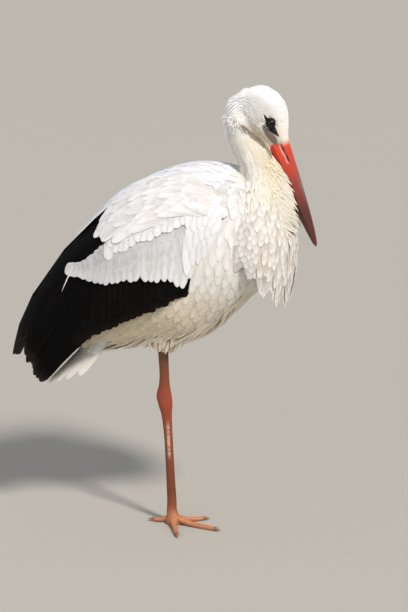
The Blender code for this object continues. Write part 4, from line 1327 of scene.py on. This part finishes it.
def worn(brown, start):
    """A finish for black vanes whose ends have bleached to brown."""
    brown = linear(brown) / linear(BLACK)

    def factor(share, side):
        fade = smooth_step(start, 1.0, share) * (0.35 + 0.65 * np.abs(side))
        return 1 + (brown - 1) * fade[:, None]

    return factor


def lay_black(plumage, start, end, width, outline, heights, **shape):
    """Black vanes on the wing, each a little different in tone."""
    plumage.add(wing_face, start, end, width, outline, heights, shade_of(BLACK, len(start), 0.10),
                thickness=0.0004, **shape)


def lay_secondaries(plumage):
    """The secondaries along the folded wing's lower edge."""
    count = 20
    along = 0.105 + 0.50 * (np.arange(count) + 0.5) / count
    low = 0.998 - 0.016 * rng.random(count)
    lay_black(plumage, columns(along - 0.020, covert_edge(along) - 0.14), columns(along + 0.016, low), 0.0150,
              BLUNT_END, (-0.0100, -0.0078, -0.0070), roll=0.0004, finish=worn("#1d1714", 0.86))


def lay_primaries(plumage):
    """The primaries, long and narrow. They show below the tertials."""
    count = 7
    down = 0.60 + 0.39 * np.arange(count) / (count - 1)
    reach = 0.962 - 0.030 * np.abs(np.sin(2.4 * np.arange(count)))
    lay_black(plumage, columns(0.50, down * 0.98), columns(reach, down), 0.0105, LONG_END,
              (-0.0085, -0.0060, -0.0060), roll=-0.0005, camber=0.05, finish=worn("#3b322b", 0.80))


def lay_tertials(plumage):
    """The long tertials behind the scapulars. The lowest come out from under the secondaries."""
    count = 11
    down = 0.008 + 0.66 * (np.arange(count) / (count - 1)) ** 1.1
    notch = 0.06 * np.exp(-((down - 0.43) / 0.07) ** 2)
    reach = np.interp(down, (0.0, 0.2, 0.45, 0.67), (1.0, 0.985, 0.965, 0.915)) - notch
    lower = down > 0.40
    hidden = np.interp(down, (0.40, 0.50, 0.66), (0.46, 0.52, 0.58))
    begin = np.where(lower, hidden, scapular_tip(down) - 0.12)
    heights = np.where(lower[:, None], (-0.0095, -0.0060, -0.0026, -0.0024),
                       (-0.0062, -0.0046, -0.0030, -0.0024))
    lay_black(plumage, columns(begin, down * 0.97), columns(reach, down), 0.0120, LONG_END, heights,
              roll=-0.0006, camber=0.05, finish=worn("#2e2823", 0.84))


def lay_front_edge(plumage):
    """The black feathers on the wing's front edge, before the coverts."""
    down = np.linspace(0.0, 1.0, 5)
    lay_black(plumage, columns(0.002 + 0.05 * down, 0.84 + 0.10 * down),
              columns(0.075 + 0.055 * down, 0.992 + 0.003 * down), 0.0078, LONG_END,
              (-0.0070, -0.0056, -0.0056), camber=0.05)


def make_flight_feathers():
    """The folded wing's black feathers."""
    plumage = Plumage()
    lay_secondaries(plumage)
    lay_primaries(plumage)
    lay_tertials(plumage)
    lay_front_edge(plumage)
    return plumage


def lay_tail_coverts(plumage, rows, stray, lengths, root, width, rise, colour, camber):
    """Rows of soft feathers over or under the tail. Each row has its reach, its height and a count."""
    for reach, height, count in rows:
        across = np.clip(spaced(count, stray, 0.5) / count, 0, 1)
        end = reach * rng.uniform(*lengths, count)
        plumage.add(tail_face, columns(across, root), columns(across, end), width, ROUND_END,
                    height + np.array(rise), shade_of(colour, count, 0.03), thickness=0.0003, camber=camber)


def make_tail(material):
    """Rounded tail feathers, with the soft coverts over and under their roots."""
    plumage = Plumage()
    count = TAIL_FEATHERS
    across = spaced(count, shift=0.5) / count
    aside = np.abs(across - 0.5)
    reach = 0.955 - 0.62 * aside**2 - 0.01 * rng.random(count)
    plumage.add(tail_face, columns(across, -0.02), columns(across, reach), 0.0122, ROUND_END,
                columns(-0.0036 - aside * 0.002, -0.0026 - aside * 0.002), shade_of("#e6dfd2", count, 0.03),
                thickness=0.0003, roll=np.where(across < 0.5, -0.0010, 0.0010))
    upper = ((0.42, -0.0012, 11), (0.32, -0.0002, 10), (0.22, 0.0006, 9))
    under = ((0.66, -0.0066, 10), (0.50, -0.0080, 11), (0.34, -0.0098, 11), (0.18, -0.0110, 11))
    lay_tail_coverts(plumage, upper, 0.2, (0.9, 1.05), -0.10, 0.0095, (-0.002, 0.0), "#f3eee2", 0.08)
    lay_tail_coverts(plumage, under, 0.3, (0.85, 1.1), -0.22, 0.0090, (0.002, -0.0015, 0.001), "#f1ead8",
                     -0.08)
    return plumage.build("tail_feathers", material)


# ---------------------------------------------------------------- bill, eyes and legs
def tube(rows, side=(0, 1, 0), rings=40, around=24, floor=None, bulge=None):
    """A closed solid along a smooth path of rows: x, y, z, half width, half depth above and below the path.

    floor keeps it from going lower, and bulge(share, angle) is a factor on its girth. It gives the points and
    faces, and every point's share of the length and angle round the path.
    """
    share = np.linspace(0, 1, rings)
    row, line = spline(rows, share), np.array(rows)[:, :3]
    ahead = unit(spline(line, np.minimum(share + 0.01, 1)) - spline(line, np.maximum(share - 0.01, 0)))
    above = unit(np.cross(ahead, np.broadcast_to(np.asarray(side, float), ahead.shape)))
    across = unit(np.cross(above, ahead))
    angle = 2 * math.pi * np.arange(around) / around
    c, s = np.cos(angle), np.sin(angle)
    grow = np.ones((rings, around)) if bulge is None else bulge(share[:, None], angle[None])
    up = np.where(s > 0, row[:, 4:5] * s, row[:, 5:6] * s) * grow
    out = row[:, 3:4] * c * grow
    points = row[:, None, :3] + across[:, None] * out[..., None] + above[:, None] * up[..., None]
    if floor is not None:
        points[..., 2] = np.maximum(points[..., 2], floor)
    flat = np.vstack([points[0].mean(0)[None], points.reshape(-1, 3), points[-1].mean(0)[None]])
    shares = np.concatenate([[0.0], np.repeat(share, around), [1.0]])
    angles = np.concatenate([[0.0], np.tile(angle, rings), [0.0]])
    return flat, vane_faces(rings, around), shares, angles


def join(parts, name, material):
    """Closed solids as one mesh, all facing outwards. Each part is its points, faces and colours."""
    points, faces, tint, base = [], [], [], 0
    for part_points, part_faces, part_tint in parts:
        points.append(part_points)
        faces += [tuple(base + i for i in f) for f in part_faces]
        tint.append(np.broadcast_to(part_tint, part_points.shape))
        base += len(part_points)
    made = new_mesh(name, np.vstack(points), faces, material, tint=np.vstack(tint))
    bm = bmesh.new()
    bm.from_mesh(made.data)
    bmesh.ops.recalc_face_normals(bm, faces=bm.faces)
    bm.to_mesh(made.data)
    bm.free()
    return made


BILL_STOPS = (-0.01, 0.03, 0.075, 0.12, 0.16, 0.19)  # places along the bill of the colours of its two halves
UPPER_RED = ("#d23f20", "#c23c21", "#8a2f1f", "#55241a", "#4e2119", "#60241b")
# The lower half's colours: its red, painted darker than the upper half's as shade on its underside.
LOWER_RED_SHADED = ("#c62e10", "#a62914", "#732315", "#4a1c14", "#451b14", "#501e16")
GAPE = 0.00015  # half the gap between the bill's two halves


def upper_depth(share):
    """How high the bill's ridge stands over the gape."""
    return 0.0262 * (1 - share) ** 0.61


def bill_half(upper):
    """The bill's upper or lower half as a tube with a flat side on the line of the gape."""
    rows = []
    for share in 1 - (1 - np.linspace(0, 1, 12)) ** 1.6:  # closer together towards the tip
        along = -0.012 + share * (BILL_LENGTH + (0.012 if upper else 0.009))
        width = 0.0125 * (1 - share) ** 0.75 + 0.0012
        if upper:
            rows.append((*head_frame(along, GAPE, 0.0), width, upper_depth(share) + 0.0012, 0.0))
        else:
            rows.append((*head_frame(along, -GAPE, 0.0), width, 0.0, 0.0125 * (1 - share) ** 0.65 + 0.0012))
    return tube(rows, rings=240, around=72)


def make_bill(material):
    """The bill in two halves that meet on the line of the gape, with a long nostril slit in the upper one."""
    points, faces, shares, _ = bill_half(upper=True)
    along, across, aside = in_head(points).T
    tint = ramp(along, BILL_STOPS, UPPER_RED)
    ridge = smooth_step(0.60, 0.95, across / np.maximum(upper_depth(shares), 0.002))
    # Greyer over the ridge, about halfway along the bill.
    grey_ridge = np.exp(-((along - 0.082) / 0.026) ** 2) * (0.10 + 0.90 * ridge) * 0.8
    tint = over(tint, "#6f625e", grey_ridge)
    slit = 0.0133 + 0.055 * (along - 0.006)  # the middle line of the nostril
    inside = smooth_step(0.003, 0.008, along) * smooth_step(0.0405, 0.036, along)
    groove = smooth_step(0.0019, 0.0007, np.abs(across - slit)) * inside
    rim = smooth_step(0.0016, 0.0006, np.abs(across - slit + 0.0026)) * inside
    points[:, 1] -= np.sign(aside) * groove * 0.0016
    tint = over(over(tint, "#e5a9a0", 0.7 * rim), "#120a0a", groove)
    forehead = smooth_step(0.012, 0.006, along) * smooth_step(0.012, 0.020, across) * 0.5
    tint = over(tint, "#e9b7a2", forehead)
    top = join([(points, faces, tint)], "bill_upper_horn", material)
    points, faces, _, _ = bill_half(upper=False)
    tint = ramp(in_head(points)[:, 0], BILL_STOPS, LOWER_RED_SHADED)
    return top, join([(points, faces, tint)], "bill_lower_horn", material)


def eye_centre(way):
    """The middle of the left (1) or right (-1) eye."""
    return head_frame(EYE_PLACE[0], EYE_PLACE[1], way * EYE_PLACE[2])


def make_eyes(material):
    """Eyeballs with a dark brown iris round a black pupil, and nearly black beyond it."""
    around, rings = 48, 32
    pupil_edge, iris_edge = 0.44, 0.85  # as angles from the line of sight
    made = []
    for name, way in (("eye_ball_left", 1), ("eye_ball_right", -1)):
        turn, rise = np.meshgrid(np.linspace(0, 2 * math.pi, around, endpoint=False),
                                 np.linspace(0.02, math.pi - 0.02, rings))
        look = unit(np.array([0.25, way, -0.05]))
        side = unit(np.cross(look, [0, 0, 1]))
        top = np.cross(side, look)
        grid = (np.cos(rise)[..., None] * look + np.sin(rise)[..., None]
                * (np.cos(turn)[..., None] * side + np.sin(turn)[..., None] * top))
        grid = np.vstack([look[None], grid.reshape(-1, 3), -look[None]])
        spot = np.concatenate([[0.0], rise.ravel(), [math.pi]])[:, None]
        iris = np.where(spot < pupil_edge, linear("#040303"), linear("#1c0e08"))
        tint = np.where(spot > iris_edge, linear("#120c0a"), iris)
        ball = (eye_centre(way) + grid * EYE_RADIUS, vane_faces(rings, around), tint)
        made.append(join([ball], name, material))
    return made


def make_lids(material):
    """Bare black lids that leave an almond opening, on both sides of the head."""
    parts = []
    back = unit(head_frame(-1, 0, 0) - head_frame(0, 0, 0))
    crown = unit(head_frame(0, 1, 0) - head_frame(0, 0, 0))
    turn = np.linspace(0, 2 * math.pi, 48, endpoint=False)
    opening = np.radians(50 - 9 * np.abs(np.sin(turn)) ** 1.5)
    rings = ((0.0, -0.0004), (0.0, 0.0007), (0.12, 0.0013), (0.35, 0.0010), (0.75, 0.0002), (1.1, -0.002))
    for way in (1, -1):
        centre = eye_centre(way)
        look = np.array([0.0, way, 0.0])
        points = [centre[None]]
        for more, height in rings:  # how far outside the opening, and how high over the eyeball
            angle = (opening + more)[:, None]
            points.append(centre + (EYE_RADIUS + height) * (np.cos(angle) * look + np.sin(angle)
                          * (np.cos(turn)[:, None] * back + np.sin(turn)[:, None] * crown)))
        points = np.vstack([*points, centre[None]])
        parts.append((points, vane_faces(len(rings), len(turn)), linear("#070505")))
    return join(parts, "eye_lids", material)


def scutes(lines, turns, height):
    """Small scales in staggered rows, as a factor on a leg's girth.

    lines is how many rows there are, turns how many scales go round, and height how far they stand out.
    """

    def factor(share, angle):
        row = share * lines
        shift = 0.5 * (np.floor(row) % 2)
        across = np.abs(np.sin(np.pi * (angle / (2 * math.pi) * turns + shift)))
        along = np.abs(np.sin(np.pi * row))
        return 1 + height * (np.minimum(across, along) ** 0.5 - 1)

    return factor


def leg_tint(points, relief=None):
    """Red-brown leg skin: paler on the toes, browner above the ankle, and darker in the furrows as painted
    shade.
    """
    heights = (0.0, 0.012, 0.030, 0.060, 0.110, 0.170, 0.215, 0.250, 0.300)
    codes = "#b0704a #bb7950 #8f4c2a #743a1d #843f21 #984626 #a04426 #944426 #733f1f".split()
    x, y, z = points.T
    speck = np.sin(z * 1700 + 5 * np.sin(x * 900)) * np.sin(y * 1500 + 2)
    base = ramp(z, heights, codes) * (1 + 0.14 * speck[:, None])
    # Painted shade in the furrows between the scales.
    if relief is not None:
        base = base * (1 - 0.45 * np.clip(relief, 0, 1)[:, None])
    return base


def claw(tip, ahead, radius, side=(0, 1, 0)):
    """A blunt claw that runs on from a toe's tip, bent down."""
    rows = []
    for share in (0.0, 0.35, 0.7, 1.0):
        place = tip + ahead * (share * 0.011 - 0.0015) + np.array([0, 0, 0.0006 - 0.0012 * share**2])
        size = radius * 0.62 * (1 - share) ** 0.8 + 0.0007
        rows.append((*place, size, size, size * 0.8))
    points, faces, shares, _ = tube(rows, side, 12, 14)
    if tip[2] < 0.02:  # it rests on the floor
        points[:, 2] = np.maximum(points[:, 2], 0.0)
    return points, faces, over(linear("#74503c"), "#96745c", shares)


TOES = (  # name, length and half width
    ("middle", 0.083, 0.0048), ("outer", 0.067, 0.0045), ("inner", 0.056, 0.0045), ("hind", 0.032, 0.0040),
)
STANDING_LEG = (  # from sole to shank: x, y, z, half width, half depth to its two sides
    (0.003, -0.002, 0.0, 0.0120, 0.0122, 0.0118), (0.003, -0.002, 0.0045, 0.0126, 0.0130, 0.0126),
    (0.002, -0.001, 0.012, 0.0112, 0.0116, 0.0112), (0.000, 0.000, 0.0236, 0.0078, 0.0088, 0.0088),
    (0.000, 0.000, 0.040, 0.0063, 0.0081, 0.0081), (-0.0015, -0.002, 0.080, 0.0055, 0.0074, 0.0074),
    (-0.0030, -0.0035, 0.115, 0.0054, 0.0072, 0.0072), (-0.0045, -0.0055, 0.155, 0.0055, 0.0073, 0.0073),
    (-0.0068, -0.008, 0.192, 0.0068, 0.0088, 0.0088), (-0.0085, -0.009, 0.212, 0.0095, 0.0122, 0.0118),
    (-0.0095, -0.009, 0.228, 0.0100, 0.0145, 0.0112), (-0.0095, -0.012, 0.246, 0.0078, 0.0100, 0.0088),
    (-0.0095, -0.016, 0.268, 0.0066, 0.0080, 0.0082), (-0.0100, -0.021, 0.298, 0.0070, 0.0084, 0.0086),
    (-0.0100, -0.025, 0.330, 0.0080, 0.0095, 0.0095),
)
RELIEF = 0.035  # how deep the furrows between the scales are, as a share of the leg's girth
TOE_SCUTE = 0.0022  # the length of a scale on a toe


def standing_shaft():
    """The standing leg above its toes, with a worn pale streak down its front and olive bands over the ankle.
    """
    scales = scutes(110, 9, RELIEF)
    points, faces, shares, angles = tube(STANDING_LEG, rings=300, around=36, floor=0.0, bulge=scales)
    x, _, z = points.T
    front = x + 0.030 * z
    streak = smooth_step(-0.0022, -0.0008, front) * smooth_step(0.0040, 0.0028, front)
    streak = streak * smooth_step(0.112, 0.124, z) * smooth_step(0.188, 0.172, z)
    streak = streak * (0.66 + 0.34 * np.sin(z * 430 + 3 * np.sin(z * 190)))
    # Olive bands over the ankle.
    olive_bands = smooth_step(0.240, 0.256, z) * smooth_step(0.3, 0.9, np.sin(z * 520 + x * 500))
    tint = leg_tint(points, (1 - scales(shares, angles)) / RELIEF)
    return points, faces, over(over(tint, "#b79a8a", streak), "#4d4a22", 0.6 * olive_bands)


def standing_toe(length, radius, heading, drop):
    """A toe on the floor, and its claw. drop is how far it comes down from the joint of the toes."""
    joint = np.array([0.0, 0.0, 0.014])
    ahead = np.array([math.cos(math.radians(heading)), math.sin(math.radians(heading)), 0])
    side = np.array([-ahead[1], ahead[0], 0])
    rows = []
    for share, fall, size in ((0.0, 0.0, 1.15), (0.25, 0.62, 1.12), (0.5, 0.92, 0.96), (0.78, 1.0, 0.9),
                              (1.0, 1.0, 0.66)):
        place = joint + ahead * (0.002 + share * (length - 0.002)) - np.array([0, 0, drop * fall])
        rows.append((*place, radius * size, radius * size * 0.95, radius * size * 0.95))
    points, faces, shares, _ = tube(rows, side, 70, 20, 0.0, scutes(length / TOE_SCUTE, 1, 0.03))
    furrow = 1 - np.abs(np.sin(np.pi * shares * length / TOE_SCUTE)) ** 0.5
    toe = (points, faces, leg_tint(points, furrow))
    return toe, claw(np.array(rows[-1][:3]), ahead, radius, side)


def toe_web(first, last, reach):
    """A small web between two front toes, given by their headings."""
    count = 9
    angle = np.radians(np.linspace(first, last, count))
    bay = reach * (1 - 0.42 * np.sin(np.linspace(0, math.pi, count)))
    edge = columns(bay * np.cos(angle), bay * np.sin(angle), 0.0040)
    centre = np.array([0.0, 0.0, 0.0100])
    points = np.vstack([centre, edge, centre * [1, 1, 0] + [0, 0, 0.0016], edge * [1, 1, 0] + [0, 0, 0.0012]])
    low, steps = count + 1, range(1, count)  # the lower side's first point, and the steps along the edge
    faces = [(0, k, k + 1) for k in steps] + [(low, low + k + 1, low + k) for k in steps]
    faces += [(k, low + k, low + k + 1, k + 1) for k in steps]
    faces += [(0, low, low + 1, 1), (0, count, low + count, low)]
    return points, faces, leg_tint(points)


def make_standing_leg(material, horn):
    """The right leg, its toes spread on the floor."""
    leg, claws = [standing_shaft()], []
    poses = ((-20, 0.0106), (-74, 0.0104), (21, 0.0104), (174, 0.0098))
    for (_, length, radius), (heading, drop) in zip(TOES, poses):
        toe, nail = standing_toe(length, radius, heading, drop)
        leg.append(toe)
        claws.append(nail)
    leg += [toe_web(-20, -74, 0.021), toe_web(-20, 21, 0.018)]
    return join(leg, "leg_right_skin", material), join(claws, "claws_right", horn)


def folded_part(rows, **shape):
    """A part of the folded leg, coloured all over as the standing leg is just under its ankle."""
    points, faces, _, _ = tube(rows, **shape)
    under_ankle = 0.2
    return points, faces, leg_tint(points * [1, 1, 0] + [0, 0, under_ankle])


def heading_up(degrees):
    """A direction that rises by this angle from straight ahead."""
    return np.array([math.cos(math.radians(degrees)), 0, math.sin(math.radians(degrees))])


def folded_toe(foot, length, radius, aside, start, curl):
    """A toe that sets out in the direction start, in degrees, and curls shut, and its claw."""
    place = foot + heading_up(start) * 0.007
    rows, steps = [], 8
    for step in range(steps + 1):
        share = step / steps
        size = radius * (1.15 - 0.45 * share)
        rows.append((place[0], place[1] + aside * share**0.7, place[2] - 0.002, size, size, size))
        place = place + heading_up(start - curl * min(share * 1.6, 1.0)) * length / steps
    tip, before = np.array(rows[-1][:3]), np.array(rows[-2][:3])
    return folded_part(rows, rings=50, around=16), claw(tip, unit(tip - before), radius)


def make_folded_leg(material, horn):
    """The left leg drawn up: the ankle back under the vent, the tarsus along the belly, the foot closed."""
    y = MIDDLE_Y + 0.050
    ankle = np.array([-0.122, y, 0.344])
    foot = ankle + 0.208 * heading_up(13.5)  # the tarsus is as long as the standing one
    tarsus = [(*(ankle + (foot - ankle) * share), width, depth, depth) for share, width, depth in (
        (0.00, 0.0080, 0.0100), (0.05, 0.0095, 0.0118), (0.22, 0.0066, 0.0084), (0.50, 0.0055, 0.0073),
        (0.80, 0.0060, 0.0078), (1.00, 0.0085, 0.0092))]
    shank = ((-0.030, y, 0.398, 0.0080, 0.0090, 0.0090), (-0.080, y, 0.377, 0.0068, 0.0082, 0.0082),
             (-0.106, y, 0.3655, 0.0090, 0.0105, 0.0105), (-0.126, y, 0.355, 0.0090, 0.0105, 0.0100))
    leg = [folded_part(tarsus, rings=160, around=28, bulge=scutes(80, 9, 0.03)),
           folded_part(shank, rings=60, around=28)]
    claws = []
    poses = ((0.000, 60, 200), (0.013, 40, 170), (-0.012, 40, 165), (-0.006, -95, 65))
    for (_, length, radius), (aside, start, curl) in zip(TOES, poses):
        toe, nail = folded_toe(foot, length, radius, aside, start, curl)
        leg.append(toe)
        claws.append(nail)
    return join(leg, "leg_left_skin", material), join(claws, "claws_left", horn)


# ---------------------------------------------------------------- putting it together
def settle(piece, slot, *nodes):
    """A finished piece rides on the one body and stands for its solids, which are hidden. slot is not used.
    """
    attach(piece, BODY)
    if nodes:
        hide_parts(*nodes)


def dress_body(finish):
    """The skin and the plumage of the head, neck and body."""
    white = finish["white"]
    skin = make_skin(finish["skin"])
    settle(skin, "plumage", *FLESH)
    for coat in make_coats(skin, white):
        settle(coat, "plumage")
    settle(make_breast_plumes(white), "plumage", "breast_plumes")
    settle(make_mantle(white), "plumage")
    bib = make_bib()
    for side in SIDES:
        settle(bib.build(f"throat_feathers_{side}", white, side == "left"), "plumage")
    settle(make_soft_plumes(white), "plumage")
    for side in SIDES:
        plumage = make_body_plumage(side == "left")
        settle(plumage.build(f"body_plumage_{side}", white, side == "left"), "plumage")


def dress_wings(finish):
    """Both wings, the left one as the mirror of the right, and the tail."""
    white, black = finish["white_long"], finish["black"]
    scapulars, coverts, flight = make_scapulars(), make_coverts(), make_flight_feathers()
    for side in SIDES:
        mirror = side == "left"
        settle(scapulars.build(f"scapulars_{side}", white, mirror), "plumage", f"wing_{side}_scapulars")
        settle(coverts.build(f"coverts_{side}", white, mirror), "plumage", f"wing_{side}_coverts")
        settle(flight.build(f"flight_feathers_{side}", black, mirror), "flight_feathers",
               f"wing_{side}_secondaries", f"wing_{side}_tertials", f"wing_{side}_primaries")
    settle(make_tail(white), "plumage", "tail")


def dress_bare_parts(finish):
    """The bill, the eyes and the legs."""
    upper, lower = make_bill(finish["bill"])
    settle(upper, "bill_horn", "bill_upper")
    settle(lower, "bill_horn", "bill_lower")
    for side, ball in zip(("left", "right"), make_eyes(finish["eye"])):
        settle(ball, "eye", f"eye_{side}")
    settle(make_lids(finish["lid"]), "leg_skin")
    toes = [name for name, _, _ in TOES]
    leg, claws = make_standing_leg(finish["leg"], finish["claw"])
    settle(leg, "leg_skin", "foot_right", "tarsus_right", "shank_right",
           *(f"toe_{toe}_right" for toe in toes))
    settle(claws, "claw_horn", *(f"claw_{toe}_right" for toe in toes))
    leg, claws = make_folded_leg(finish["leg"], finish["claw"])
    settle(leg, "leg_skin", "tarsus_left", "shank_left", *(f"toe_{toe}_left" for toe in toes))
    settle(claws, "claw_horn", *(f"claw_{toe}_left" for toe in toes))


def main():
    stage()
    finish = make_finishes()
    dress_body(finish)
    dress_wings(finish)
    dress_bare_parts(finish)


main()
